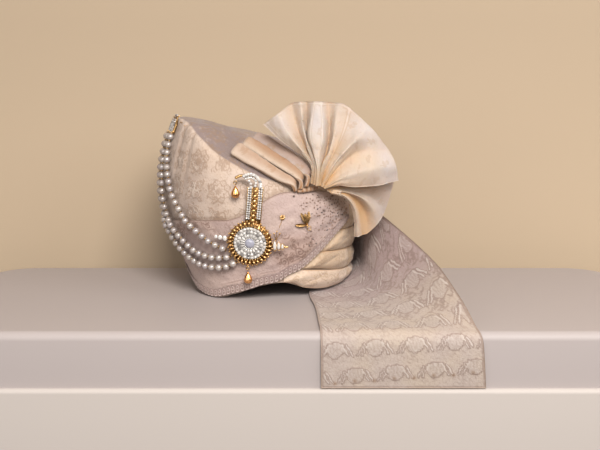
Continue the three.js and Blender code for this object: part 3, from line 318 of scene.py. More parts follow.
def sheet(b, P, N, thick, uv=None, ink=None, deep=None, mat=0, tint=None):
    """A closed sheet of cloth: front at P, back `thick` mm behind it along -N."""
    u_, v_ = np.diff(P, axis=0), np.diff(P, axis=1)
    area_ = np.linalg.norm(np.cross(u_[:, :-1], v_[:-1]), axis=-1).sum()
    SIZES.append((np.linalg.norm(u_, axis=-1).sum(0).mean(), np.linalg.norm(v_, axis=-1).sum(1).mean(), area_))
    n, m = P.shape[:2]
    Q = P - N * (thick[..., None] if isinstance(thick, np.ndarray) else thick)
    V = np.concatenate([P.reshape(-1, 3), Q.reshape(-1, 3)])
    F1 = grid_faces(n, m)
    F2 = F1[:, ::-1] + n * m
    j, i, o = np.arange(m - 1), np.arange(n - 1), n * m
    rim = [np.stack([j + 1, j, j + o, j + 1 + o], -1),
           np.stack([(n - 1) * m + j, (n - 1) * m + j + 1, (n - 1) * m + j + 1 + o, (n - 1) * m + j + o], -1),
           np.stack([i * m, (i + 1) * m, (i + 1) * m + o, i * m + o], -1),
           np.stack([(i + 1) * m + m - 1, i * m + m - 1, i * m + m - 1 + o, (i + 1) * m + m - 1 + o], -1)]
    two = lambda a: None if a is None else np.concatenate([a.reshape(n * m, -1), a.reshape(n * m, -1)])
    F = np.concatenate([F1, F2] + rim)
    b.add(V, F, two(uv), two(ink), two(deep), mat, tint=two(tint))


def rings(b, R, uv=None, ink=None, deep=None, mat=0, tint=None, loop=False):
    """A closed tube through rings of points R[n, m]."""
    n, m = R.shape[:2]
    V = R.reshape(-1, 3)
    if loop:
        i, j = np.meshgrid(np.arange(n), np.arange(m), indexing="ij")
        F = np.stack([i * m + j, (i + 1) % n * m + j, (i + 1) % n * m + (j + 1) % m, i * m + (j + 1) % m], -1).reshape(-1, 4)
        b.add(V, F, uv, ink, deep, mat)
        return
    F = grid_faces(n, m, True)
    V2 = np.concatenate([V, R[:1].mean(1), R[-1:].mean(1)])
    j = np.arange(m)
    k = (j + 1) % m
    c1 = np.stack([np.full(m, n * m), j, k, k], -1)
    c2 = np.stack([np.full(m, n * m + 1), (n - 1) * m + k, (n - 1) * m + j, (n - 1) * m + j], -1)
    grow = lambda a: None if a is None else np.concatenate([a.reshape(n * m, -1), a.reshape(n, m, -1)[0, :1], a.reshape(n, m, -1)[-1, :1]])
    quads = F
    tris = np.concatenate([c1[:, :3], c2[:, :3]])
    p = V2 - V2.mean(0)
    vol = sum(np.einsum("ij,ij->i", p[quads[:, 0]], np.cross(p[quads[:, q]], p[quads[:, q + 1]])).sum() for q in (1, 2))
    if vol < 0:
        quads, tris = quads[:, ::-1], tris[:, ::-1]
    b.add(V2, quads, grow(uv), grow(ink), grow(deep), mat, solid=False, tint=grow(tint))
    b.f.append(tris + b.n - len(V2))
    b.mat.append(np.full(len(tris), mat))


def transport(path):
    """Frames along a path: tangent, side and out."""
    t = unit(np.gradient(path, axis=0))
    side = np.empty_like(t)
    s = np.cross(t[0], [0.0, 0, 1] if abs(t[0, 2]) < 0.9 else [0, 1.0, 0])
    for i in range(len(t)):
        s = s - t[i] * (s @ t[i])
        s = s / np.linalg.norm(s)
        side[i] = s
    return t, side, np.cross(t, side)


def tube(b, path, r, sides=10, mat=0, flat=1.0, round_ends=True):
    path = np.asarray(path, float)
    t, a, o = transport(path)
    r = np.broadcast_to(np.asarray(r, float), (len(path),)).copy()
    if round_ends:
        r0, r1 = r[0], r[-1]
        path = np.concatenate([path[:1] - t[:1] * r0 * 0.6, path, path[-1:] + t[-1:] * r1 * 0.6])
        a, o = np.concatenate([a[:1], a, a[-1:]]), np.concatenate([o[:1], o, o[-1:]])
        r = np.concatenate([[r0 * 0.55], r, [r1 * 0.55]])
    th = np.arange(sides) / sides * 2 * math.pi
    R = path[:, None] + r[:, None, None] * (np.cos(th)[None, :, None] * a[:, None] + flat * np.sin(th)[None, :, None] * o[:, None])
    rings(b, R, mat=mat)


def balls(b, C, radii, axes=None, nu=14, nv=9, mat=0, ink=None):
    """Ellipsoids at C; radii [k,3]; axes [k,3,3] rows are the local x, y, z."""
    C = np.asarray(C, float).reshape(-1, 3)
    k = len(C)
    radii = np.broadcast_to(np.asarray(radii, float), (k, 3))
    th = np.linspace(0, math.pi, nv + 1)[1:-1]
    ph = np.arange(nu) / nu * 2 * math.pi
    S = np.stack([np.outer(np.sin(th), np.cos(ph)), np.outer(np.sin(th), np.sin(ph)), np.outer(np.cos(th), np.ones(nu))], -1).reshape(-1, 3)
    S = np.concatenate([S, [[0, 0, 1], [0, 0, -1]]])
    L = S[None] * radii[:, None]
    if axes is not None:
        L = np.einsum("kpi,kij->kpj", L, np.asarray(axes, float))
    V = (C[:, None] + L).reshape(-1, 3)
    q = grid_faces(nv - 1, nu, True)
    j = np.arange(nu)
    t1 = np.stack([np.full(nu, (nv - 1) * nu), j, (j + 1) % nu], -1)
    t2 = np.stack([np.full(nu, (nv - 1) * nu + 1), (nv - 2) * nu + (j + 1) % nu, (nv - 2) * nu + j], -1)
    off = (np.arange(k) * len(S))[:, None, None]
    Q = (q[None, :, :] + off).reshape(-1, 4)
    T = (np.concatenate([t1, t2])[None] + off).reshape(-1, 3)
    tone = None if ink is None else np.repeat(np.asarray(ink, float), len(S))
    b.add(V, Q, ink=tone, mat=mat, solid=False)
    b.f.append(T + b.n - len(V))
    b.mat.append(np.full(len(T), mat))


def stone(b, C, rx, ry, h, X, Y, Z, sides=10, mat=0, tone=0.0, twist=0.0, tip=0.0):
    """A faceted stone: girdle, two rows of crown facets and a table. X, Y, Z are its directions."""
    a = (np.arange(sides) + twist) / sides * 2 * math.pi
    rows = []
    for k, (r, z, ph) in enumerate([(0.86, -0.25, 0), (1.0, 0.0, 0), (1.0, 0.22, 0), (0.82, 0.68, 0.5), (0.5, 1.0, 0)]):
        aa = a + ph / sides * 2 * math.pi
        pear = 1 + tip * np.clip(np.sin(aa), 0, 1) ** 3
        rows.append(C + (r * rx * np.cos(aa))[:, None] * X + (r * ry * np.sin(aa) * pear)[:, None] * Y + z * h * Z)
    R = np.stack(rows)
    rings(b, R, ink=np.full(R.shape[:2], tone), mat=mat)


def seat(deg, z, off):
    """A frame on the crown: right, up, out, and its point."""
    o = on_wall(deg, z, off)
    up = unit(on_wall(deg, z + 12, off) - on_wall(deg, z - 12, off))
    out = polar(deg, 1.0, 0.0)
    right = unit(np.cross(up, out))
    return np.stack([right, up, np.cross(right, up)]), o


class Tile:
    """A repeat of woven relief, drawn with a soft round point; w by h mm, wrapping round."""

    def __init__(self, w, h, res=0.4):
        self.w, self.h, self.res = w, h, res
        self.ny, self.nx = int(round(h / res)), int(round(w / res))
        self.a = np.zeros((self.ny, self.nx))

    def line(self, pts, r=0.8, v=1.0, close=False):
        p = np.asarray(pts, float)
        if close:
            p = np.concatenate([p, p[:1]])
        d = np.concatenate([[0], np.cumsum(np.linalg.norm(np.diff(p, axis=0), axis=1))])
        s = np.arange(0, d[-1] + 1e-6, self.res * 0.7)
        p = np.stack([np.interp(s, d, p[:, k]) for k in (0, 1)], -1) / self.res
        k = int(math.ceil(r / self.res)) + 1
        oy, ox = np.meshgrid(np.arange(-k, k + 1), np.arange(-k, k + 1), indexing="ij")
        c = np.floor(p).astype(int)
        dx = c[:, 0, None, None] + ox - p[:, 0, None, None]
        dy = c[:, 1, None, None] + oy - p[:, 1, None, None]
        val = v * np.sqrt(np.clip(1 - (dx**2 + dy**2) * (self.res / r) ** 2, 0, 1))
        np.maximum.at(self.a, ((c[:, 1, None, None] + oy) % self.ny, (c[:, 0, None, None] + ox) % self.nx), val)

    def fill(self, pts, v=0.4):
        """Solid shape inside a closed outline."""
        p = np.asarray(pts, float)
        x0, y0 = np.floor(p.min(0) / self.res).astype(int)
        x1, y1 = np.ceil(p.max(0) / self.res).astype(int)
        gx, gy = np.meshgrid(np.arange(x0, x1 + 1), np.arange(y0, y1 + 1))
        X, Y = gx * self.res, gy * self.res
        inside = np.zeros(X.shape, bool)
        q = np.roll(p, -1, 0)
        for (ax, ay), (bx, by) in zip(p, q):
            cross = (ay > Y) != (by > Y)
            with np.errstate(divide="ignore", invalid="ignore"):
                inside ^= cross & (X < (bx - ax) * (Y - ay) / (by - ay) + ax)
        yy, xx = gy[inside] % self.ny, gx[inside] % self.nx
        self.a[yy, xx] = np.maximum(self.a[yy, xx], v)

    def at(self, u, v):
        u, v = u + 0.35 * np.sin(0.83 * v + 1.7 * np.sin(0.21 * u)), v + 0.35 * np.sin(0.71 * u + 1.9 * np.sin(0.17 * v))
        x, y = np.mod(u / self.res, self.nx), np.mod(v / self.res, self.ny)
        x0, y0 = np.floor(x).astype(int) % self.nx, np.floor(y).astype(int) % self.ny
        fx, fy = x - np.floor(x), y - np.floor(y)
        x1, y1 = (x0 + 1) % self.nx, (y0 + 1) % self.ny
        a = self.a
        return (a[y0, x0] * (1 - fx) + a[y0, x1] * fx) * (1 - fy) + (a[y1, x0] * (1 - fx) + a[y1, x1] * fx) * fy


def spiral(cx, cy, r, turns, start, sense=1, n=40):
    t = np.linspace(0, 1, n)
    a = start * D2R + sense * turns * 2 * math.pi * t
    rr = r * (1 - t) ** 0.8 + 0.3
    return np.stack([cx + rr * np.cos(a), cy + rr * np.sin(a)], -1)


def leaf(cx, cy, length, width, ang, n=16):
    t = np.linspace(0, 1, n)
    w = width / 2 * np.sin(math.pi * t) ** 0.8
    x, y = np.concatenate([t * length, t[::-1] * length]), np.concatenate([w, -w[::-1]])
    c, s = math.cos(ang * D2R), math.sin(ang * D2R)
    return np.stack([cx + x * c - y * s, cy + x * s + y * c], -1)


def flower(cx, cy, r, petals, dip=0.3, turn=0.0, n=96):
    a = np.linspace(0, 2 * math.pi, n, endpoint=False)
    rr = r * (1 - dip + dip * np.abs(np.cos(petals / 2 * a + turn)))
    return np.stack([cx + rr * np.cos(a), cy + rr * np.sin(a)], -1)


def brocade_tile():
    t = Tile(62, 62)
    for cx, cy in ((15.5, 15.5), (46.5, 46.5)):
        t.fill(flower(cx, cy, 4.6, 8, 0.35), 0.5)
        t.line(flower(cx, cy, 8.6, 8, 0.30), 0.75, 1.0, True)
        t.line(flower(cx, cy, 12.8, 8, 0.22, math.pi / 2), 0.7, 0.9, True)
        for k in range(8):
            a = k * 45 + 22.5
            t.line(leaf(cx + 9 * math.cos(a * D2R), cy + 9 * math.sin(a * D2R), 5.4, 3.0, a), 0.5, 0.7, True)
        for k in range(12):
            a = k * 30 * D2R
            t.line([[cx + 14.6 * math.cos(a), cy + 14.6 * math.sin(a)], [cx + 15.2 * math.cos(a), cy + 15.2 * math.sin(a)]], 0.75, 0.8)
    for cx, cy in ((46.5, 15.5), (15.5, 46.5)):
        for k in range(4):
            a = k * 90 + 45
            c, s = math.cos(a * D2R), math.sin(a * D2R)
            t.line(spiral(cx + 6.2 * c, cy + 6.2 * s, 5.0, 1.35, a + 180, 1), 0.7, 0.95)
            t.line(spiral(cx + 12.2 * c, cy + 12.2 * s, 3.4, 1.2, a, -1), 0.6, 0.8)
            t.fill(leaf(cx, cy, 9.5, 3.6, a - 45), 0.55)
            t.line(leaf(cx, cy, 9.5, 3.6, a - 45), 0.5, 0.9, True)
    return t


def embroidery_tile():
    t = Tile(44, 40)
    for cx, cy, f in ((11, 10, 1), (33, 30, -1)):
        t.line(spiral(cx, cy, 7.6, 1.9, 200 if f > 0 else 20, f, 60), 0.7, 1.0)
        t.line(spiral(cx + 9.5 * f, cy + 5.5, 4.4, 1.4, 180, -f, 40), 0.6, 0.9)
        t.line(spiral(cx - 7.5 * f, cy - 6.2, 3.8, 1.3, 60, -f, 40), 0.6, 0.9)
        for a in (30, 75, 120, 165):
            t.line(leaf(cx + 8.4 * math.cos(a * D2R) * f, cy + 8.4 * math.sin(a * D2R), 4.2, 2.0, a if f > 0 else 180 - a), 0.45, 0.8, True)
        for a in range(0, 360, 45):
            x, y = cx + 11 * f + 2.8 * math.cos(a * D2R), cy + 14 + 2.8 * math.sin(a * D2R)
            t.line([[x, y], [x + 0.1, y]], 0.8, 0.9)
        t.line([[cx + 11 * f, cy + 14], [cx + 11 * f + 0.1, cy + 14]], 1.2, 1.0)
    u = np.linspace(0, 44, 90)
    t.line(np.stack([u, 20 + 2.6 * np.sin(u / 44 * 4 * math.pi)], -1), 0.5, 0.7)
    return t


def lattice_tile():
    """Tail brocade: shells with rays, each under a tent of double satin bars, in a half drop."""
    W, H = 40.0, 55.0
    t = Tile(W, H, 0.4)
    g = np.random.default_rng(9)
    for k in range(58):          # small curls of the ground
        x, y, a = g.uniform(0, W), g.uniform(0, H), g.uniform(0, 2 * math.pi)
        c = a + np.linspace(0, g.uniform(1.4, 3.2), 9)
        rr = g.uniform(1.6, 3.4)
        t.line(np.stack([x + rr * np.cos(c), y + 1.3 * rr * np.sin(c)], -1), 1.0, 0.30)
    for cx, cy in ((W / 2, 0), (0, H / 2), (W, H / 2), (W / 2, H)):
        d = np.array([[-6.6, 0], [-8.4, 3.5], [-8.2, 7], [-6, 10], [-3, 11.6], [0, 12.1], [3, 11.6], [6, 10], [8.2, 7], [8.4, 3.5],
                      [6.6, 0], [3.2, -4.6], [0, -7.4], [-3.2, -4.6]])
        q = np.linspace(0, len(d), 90)
        d = np.stack([np.interp(q, np.arange(len(d) + 1), np.append(d[:, k], d[0, k])) for k in (0, 1)], -1) + [cx, cy]
        for px, py in d * 1.0:
            t.a[int(py / t.res) % t.ny, int(px / t.res) % t.nx] = 0
        t.fill(d, 0.2)
        iy, ix = np.mgrid[0:t.ny, 0:t.nx]
        dx = np.mod(ix * t.res - cx + W / 2, W) - W / 2
        dy = np.mod(iy * t.res - cy + H / 2, H) - H / 2
        inside = (np.abs(dx) < 8.2) & (dy > -5.5) & (dy < 11.5) & (np.hypot(dx, dy - 3.2) < 8.6)
        rays = 0.5 + 0.5 * np.cos(np.arctan2(dx, dy + 8) * 24)
        t.a = np.where(inside, 0.66 + 0.12 * rays, t.a)
        t.line(d, 0.7, 0.30, True)
        t.line([[cx, cy - 9.0], [cx + 0.1, cy - 9.0]], 1.0, 0.5)
        # small arch over the shell, then the satin tent
        t.line([[cx - 10.2, cy + 3], [cx - 9.2, cy + 9.5], [cx - 5, cy + 14], [cx, cy + 15.6], [cx + 5, cy + 14], [cx + 9.2, cy + 9.5], [cx + 10.2, cy + 3]], 0.7, 0.22)
        for sx in (-1, 1):
            for o in (0.0, 4.4):
                t.line([[cx + sx * (13.2 + o), cy - 3.5], [cx + sx * (6.6 + o), cy + 9.5 - 0.3 * o]], 1.35, 1.0)
        t.line([[cx - 7, cy - 8.5], [cx - 3, cy - 13.5], [cx, cy - 15.5], [cx + 3, cy - 13.5], [cx + 7, cy - 8.5]], 0.7, 0.22)
        t.line([[cx - 12, cy - 1], [cx - 9, cy - 7], [cx - 12, cy - 12]], 0.6, 0.18)
        t.line([[cx + 12, cy - 1], [cx + 9, cy - 7], [cx + 12, cy - 12]], 0.6, 0.18)
    return t


def sprig_tile():
    t = Tile(30, 34)
    for cx, cy in ((7.5, 8), (22.5, 25)):
        t.line([[cx, cy - 5], [cx + 0.6, cy], [cx, cy + 4]], 0.4, 0.6)
        for a in (50, 130, 20, 160):
            t.fill(leaf(cx, cy - 1, 5.2, 2.2, a), 0.55)
        t.fill(flower(cx, cy + 5, 2.6, 5), 0.7)
    for cx, cy in ((22.5, 8), (7.5, 25)):
        t.line([[cx, cy], [cx + 0.1, cy]], 0.9, 0.8)
    return t


BROCADE, EMBROIDERY, LATTICE, SPRIG = brocade_tile(), embroidery_tile(), lattice_tile(), sprig_tile()


# ------------------------------------------------------------------ materials
def node_tree(name):
    m = bpy.data.materials.new(name)
    m.use_nodes = True
    nt = m.node_tree
    return m, nt, nt.nodes["Principled BSDF"]


def put(nt, kind, **sets):
    n = nt.nodes.new(kind)
    for k, v in sets.items():
        setattr(n, k, v)
    return n


def mix(nt, fac, a, b, mode="MIX"):
    n = put(nt, "ShaderNodeMix", data_type="RGBA", blend_type=mode)
    for sock, val in ((n.inputs[0], fac), (n.inputs[6], a), (n.inputs[7], b)):
        if isinstance(val, (tuple, list)):
            sock.default_value = (*val, 1) if len(val) == 3 else val
        elif isinstance(val, (int, float)):
            sock.default_value = val
        else:
            nt.links.new(val, sock)
    return n.outputs[2]


def ramp(nt, fac, stops):
    n = put(nt, "ShaderNodeValToRGB")
    while len(n.color_ramp.elements) < len(stops):
        n.color_ramp.elements.new(0.5)
    for e, (p, c) in zip(n.color_ramp.elements, stops):
        e.position = p
        e.color = (*c, 1) if len(c) == 3 else c
    nt.links.new(fac, n.inputs[0])
    return n.outputs[0]


def calc(nt, op, a, b=None, c=None):
    n = put(nt, "ShaderNodeMath", operation=op)
    for sock, val in zip(n.inputs, (a, b, c)):
        if val is None:
            continue
        if isinstance(val, (int, float)):
            sock.default_value = val
        else:
            nt.links.new(val, sock)
    return n.outputs[0]


def noise(nt, vec, scale, detail=3.0, rough=0.55):
    n = put(nt, "ShaderNodeTexNoise")
    n.inputs["Scale"].default_value = scale
    n.inputs["Detail"].default_value = detail
    n.inputs["Roughness"].default_value = rough
    if vec is not None:
        nt.links.new(vec, n.inputs["Vector"])
    return n.outputs["Fac"]


def attr(nt, name):
    n = put(nt, "ShaderNodeAttribute", attribute_name=name)
    return n.outputs["Fac"]


def steps(nt, val, lo, hi):
    n = put(nt, "ShaderNodeMapRange", interpolation_type="SMOOTHSTEP")
    nt.links.new(val, n.inputs[0])
    n.inputs[1].default_value, n.inputs[2].default_value = lo, hi
    return n.outputs[0]


def cloth(name, base, shade, line, outline, deep_tone, tone_and_shade_colour, rough=0.62, sheen=0.2, thread=0.55, gloss=0.35, sub=0.0, relief=0.5):
    """Woven cloth: a wandering ground, light raised figure with darker outlines, a second tone that is partly painted
    shade, and painted warm shade inside folds and hollows.
    """
    m, nt, p = node_tree(name)
    uv = put(nt, "ShaderNodeUVMap", uv_map="cloth").outputs[0]
    geo = put(nt, "ShaderNodeTexCoord").outputs["Object"]
    big, mid = noise(nt, geo, 24, 2), noise(nt, geo, 150, 4, 0.6)
    speck, fine = noise(nt, geo, 420, 3, 0.6), noise(nt, geo, 1100, 2, 0.6)
    tint = attr(nt, "tint")
    tone = mix(nt, steps(nt, big, 0.36, 0.66), base, shade)
    # second tone: the cloth's own colour on some parts, painted shade of up-facing parts on others
    tone = mix(nt, tint, tone, tone_and_shade_colour)
    ink = attr(nt, "ink")
    edge = calc(nt, "MULTIPLY", steps(nt, ink, 0.02, 0.3), calc(nt, "SUBTRACT", 1.0, steps(nt, ink, 0.45, 0.8)))
    tone = mix(nt, calc(nt, "MULTIPLY", edge, 0.62), tone, outline)
    tone = mix(nt, calc(nt, "MULTIPLY", steps(nt, ink, 0.5, 0.9), 0.72), tone, line)
    # thin broken lines of the ground weave
    wv2 = put(nt, "ShaderNodeTexWave", wave_type="BANDS", bands_direction="DIAGONAL")
    wv2.inputs["Scale"].default_value = 11.0
    wv2.inputs["Distortion"].default_value = 9.0
    wv2.inputs["Detail"].default_value = 3.0
    wv2.inputs["Detail Scale"].default_value = 2.2
    nt.links.new(uv, wv2.inputs["Vector"])
    vein = steps(nt, wv2.outputs["Fac"], 0.86, 0.98)
    tone = mix(nt, calc(nt, "MULTIPLY", vein, calc(nt, "MULTIPLY", speck, 0.42)), tone, outline)
    tone = mix(nt, calc(nt, "MULTIPLY", steps(nt, mid, 0.56, 0.74), 0.30), tone, line)
    tone = mix(nt, calc(nt, "MULTIPLY", steps(nt, speck, 0.60, 0.72), 0.34), tone, outline)
    sep = put(nt, "ShaderNodeSeparateXYZ")
    nt.links.new(uv, sep.inputs[0])
    k = 2 * math.pi / (thread * 0.01)
    warp = calc(nt, "SINE", calc(nt, "MULTIPLY", sep.outputs[0], k))
    weft = calc(nt, "SINE", calc(nt, "MULTIPLY", sep.outputs[1], k * 0.83))
    wv = calc(nt, "MULTIPLY_ADD", calc(nt, "MULTIPLY", warp, weft), 0.5, 0.5)
    tone = mix(nt, calc(nt, "MULTIPLY", wv, 0.13), tone, outline)
    # painted shade: warm dark colour inside folds, hollows and tucked edges; on the tail the same mark also gives dark
    # knots of thread
    col = mix(nt, calc(nt, "MULTIPLY", attr(nt, "deep"), 0.9), tone, deep_tone)
    nt.links.new(col, p.inputs["Base Color"])
    rg = calc(nt, "MULTIPLY_ADD", steps(nt, ink, 0.45, 0.85), -0.2, rough)
    nt.links.new(calc(nt, "MULTIPLY_ADD", mid, 0.2, calc(nt, "SUBTRACT", rg, 0.1)), p.inputs["Roughness"])
    b1 = put(nt, "ShaderNodeBump")
    b1.inputs["Strength"].default_value = relief
    b1.inputs["Distance"].default_value = 0.0014
    nt.links.new(calc(nt, "ADD", mid, calc(nt, "MULTIPLY", vein, -0.12)), b1.inputs["Height"])
    b2 = put(nt, "ShaderNodeBump")
    b2.inputs["Strength"].default_value = 0.4
    b2.inputs["Distance"].default_value = 0.0003
    nt.links.new(calc(nt, "ADD", wv, calc(nt, "MULTIPLY", fine, 0.8)), b2.inputs["Height"])
    nt.links.new(b1.outputs[0], b2.inputs["Normal"])
    nt.links.new(b2.outputs[0], p.inputs["Normal"])
    p.inputs["Sheen Weight"].default_value = sheen
    p.inputs["Sheen Roughness"].default_value = 0.4
    p.inputs["Specular IOR Level"].default_value = gloss
    if sub:
        p.inputs["Subsurface Weight"].default_value = sub
        p.inputs["Subsurface Radius"].default_value = (0.004, 0.0022, 0.0012)
        p.inputs["Subsurface Scale"].default_value = 1.0
    return m


def metal(name, base, dark, rough=0.26, scale=260.0):
    m, nt, p = node_tree(name)
    geo = put(nt, "ShaderNodeTexCoord").outputs["Object"]
    n1 = noise(nt, geo, scale, 4)
    n2 = noise(nt, geo, scale * 4, 3)
    tone = attr(nt, "ink")
    c = mix(nt, ramp(nt, n1, [(0.3, (0, 0, 0)), (0.75, (1, 1, 1))]), base, dark)
    c = mix(nt, tone, c, (0.10, 0.045, 0.012))
    nt.links.new(c, p.inputs["Base Color"])
    p.inputs["Metallic"].default_value = 1.0
    nt.links.new(calc(nt, "MULTIPLY_ADD", n2, 0.18, rough - 0.06), p.inputs["Roughness"])
    b = put(nt, "ShaderNodeBump")
    b.inputs["Strength"].default_value = 0.3
    b.inputs["Distance"].default_value = 0.0002
    nt.links.new(n2, b.inputs["Height"])
    nt.links.new(b.outputs[0], p.inputs["Normal"])
    return m


def gem(name, base, other, rough=0.05, metallic=0.0, coat=0.8):
    m, nt, p = node_tree(name)
    geo = put(nt, "ShaderNodeTexCoord").outputs["Object"]
    v = put(nt, "ShaderNodeTexVoronoi")
    v.inputs["Scale"].default_value = 700
    nt.links.new(geo, v.inputs["Vector"])
    c = mix(nt, v.outputs["Distance"], base, other)
    c = mix(nt, attr(nt, "ink"), c, (0.10, 0.09, 0.09))
    nt.links.new(c, p.inputs["Base Color"])
    n2 = noise(nt, geo, 900, 2)
    nt.links.new(calc(nt, "MULTIPLY_ADD", n2, 0.08, rough), p.inputs["Roughness"])
    p.inputs["Metallic"].default_value = metallic
    p.inputs["Coat Weight"].default_value = coat
    p.inputs["Coat Roughness"].default_value = 0.03
    return m


def pearl_stuff():
    m, nt, p = node_tree("pearl")
    geo = put(nt, "ShaderNodeTexCoord").outputs["Object"]
    tone = attr(nt, "ink")
    n1 = noise(nt, geo, 180, 3)
    c = mix(nt, tone, (0.345, 0.298, 0.276), (0.285, 0.248, 0.262))
    c = mix(nt, ramp(nt, n1, [(0.35, (0, 0, 0)), (0.7, (0.5, 0.5, 0.5))]), c, (0.36, 0.335, 0.29))
    # painted shade: each pearl's colour darkens towards its rim
    lw = put(nt, "ShaderNodeLayerWeight")
    lw.inputs["Blend"].default_value = 0.35
    c = mix(nt, calc(nt, "MULTIPLY", lw.outputs["Facing"], 0.95), c, (0.115, 0.08, 0.075))
    nt.links.new(c, p.inputs["Base Color"])
    nt.links.new(calc(nt, "MULTIPLY_ADD", n1, 0.10, 0.16), p.inputs["Roughness"])
    p.inputs["Specular IOR Level"].default_value = 1.0
    p.inputs["Coat Weight"].default_value = 1.0
    p.inputs["Coat Roughness"].default_value = 0.06
    p.inputs["Coat IOR"].default_value = 1.9
    p.inputs["Sheen Weight"].default_value = 0.15
    return m


BROWN = (0.20, 0.115, 0.062)
M_BROCADE = cloth("crown_brocade", (0.52, 0.42, 0.355), (0.48, 0.375, 0.305), (0.62, 0.53, 0.46), (0.25, 0.165, 0.110), (0.17, 0.095, 0.05), (0.205, 0.158, 0.159))
M_BAND = cloth("band_cloth", (0.45, 0.35, 0.315), (0.40, 0.305, 0.285), (0.56, 0.46, 0.41), (0.13, 0.068, 0.045), (0.17, 0.09, 0.05), (0.33, 0.225, 0.185), thread=0.5)
M_LACE = cloth("lace_cloth", (0.33, 0.245, 0.225), (0.30, 0.22, 0.21), (0.52, 0.43, 0.40), (0.19, 0.125, 0.105), BROWN, (0.4, 0.33, 0.32), thread=0.4)
M_WRAP = cloth("wrap_cloth", (0.455, 0.345, 0.245), (0.42, 0.31, 0.21), (0.56, 0.46, 0.36), (0.34, 0.235, 0.155), (0.36, 0.17, 0.055), (0.54, 0.43, 0.345), sub=0.08)
M_FAN = cloth("fan_cloth", (0.482, 0.405, 0.335), (0.46, 0.38, 0.315), (0.53, 0.475, 0.43), (0.39, 0.31, 0.25), (0.48, 0.275, 0.115), (0.455, 0.41, 0.40), rough=0.55, sub=0.22, relief=0.4)
M_PLEAT = cloth("pleat_cloth", (0.52, 0.42, 0.335), (0.48, 0.38, 0.30), (0.57, 0.49, 0.42), (0.36, 0.26, 0.19), (0.25, 0.105, 0.030), (0.40, 0.335, 0.325), rough=0.55, sub=0.05, relief=0.4)
M_TAIL = cloth("tail_brocade", (0.405, 0.338, 0.300), (0.425, 0.350, 0.290), (0.54, 0.49, 0.46), (0.185, 0.125, 0.105), BROWN, (0.335, 0.255, 0.25), rough=0.5, gloss=0.45)
M_GOLD = metal("gold", (0.76, 0.52, 0.25), (0.40, 0.22, 0.075))
M_DROP = metal("drop_gold", (0.86, 0.46, 0.19), (0.70, 0.34, 0.12), 0.24)
M_CRYSTAL = gem("crystal", (0.74, 0.72, 0.69), (0.60, 0.58, 0.56), 0.10, 0.15)
M_STONE = gem("grey_stone", (0.34, 0.34, 0.40), (0.29, 0.30, 0.37), 0.10, 0.0)
M_PEARL = pearl_stuff()


# ------------------------------------------------------------------ camera, stage and light
def camera():
    cam = bpy.data.cameras.new("camera")
    cam.lens, cam.sensor_width, cam.clip_end = 85, 36, 20
    ob = bpy.data.objects.new("camera", cam)
    e = 10 * D2R
    ob.location = (0.0378, -1.7 * math.cos(e), 0.066 + 1.7 * math.sin(e))
    ob.rotation_euler = (math.pi / 2 - e, 0, 0)
    bpy.context.scene.collection.objects.link(ob)
    bpy.context.scene.camera = ob


def stage_mat(name, base, other, rough):
    m, nt, p = node_tree(name)
    geo = put(nt, "ShaderNodeTexCoord").outputs["Object"]
    n1 = noise(nt, geo, 3, 3)
    nt.links.new(mix(nt, n1, base, other), p.inputs["Base Color"])
    p.inputs["Roughness"].default_value = rough
    p.inputs["Specular IOR Level"].default_value = 0.3
    return m


def wall_mat():
    """Painted light: the paint is a little lighter low down, standing in for the lamp's brighter pool there; a backdrop
    has a front only, so it doesn't hide the turban from behind.
    """
    m, nt, p = node_tree("wall_paint")
    geo = put(nt, "ShaderNodeTexCoord").outputs["Object"]
    xyz = put(nt, "ShaderNodeSeparateXYZ")
    nt.links.new(geo, xyz.inputs[0])
    # painted light: lighter paint low down
    low = ramp(nt, xyz.outputs["Z"], [(0.02, (1, 1, 1)), (0.30, (0, 0, 0))])
    nt.links.new(mix(nt, low, (0.362, 0.284, 0.202), (0.425, 0.334, 0.238)), p.inputs["Base Color"])
    p.inputs["Roughness"].default_value = 0.8
    p.inputs["Specular IOR Level"].default_value = 0.3
    back = put(nt, "ShaderNodeNewGeometry")
    clear = put(nt, "ShaderNodeBsdfTransparent")
    both = put(nt, "ShaderNodeMixShader")
    nt.links.new(back.outputs["Backfacing"], both.inputs[0])
    nt.links.new(p.outputs[0], both.inputs[1])
    nt.links.new(clear.outputs[0], both.inputs[2])
    out = next(n for n in nt.nodes if n.type == "OUTPUT_MATERIAL")
    nt.links.new(both.outputs[0], out.inputs["Surface"])
    return m


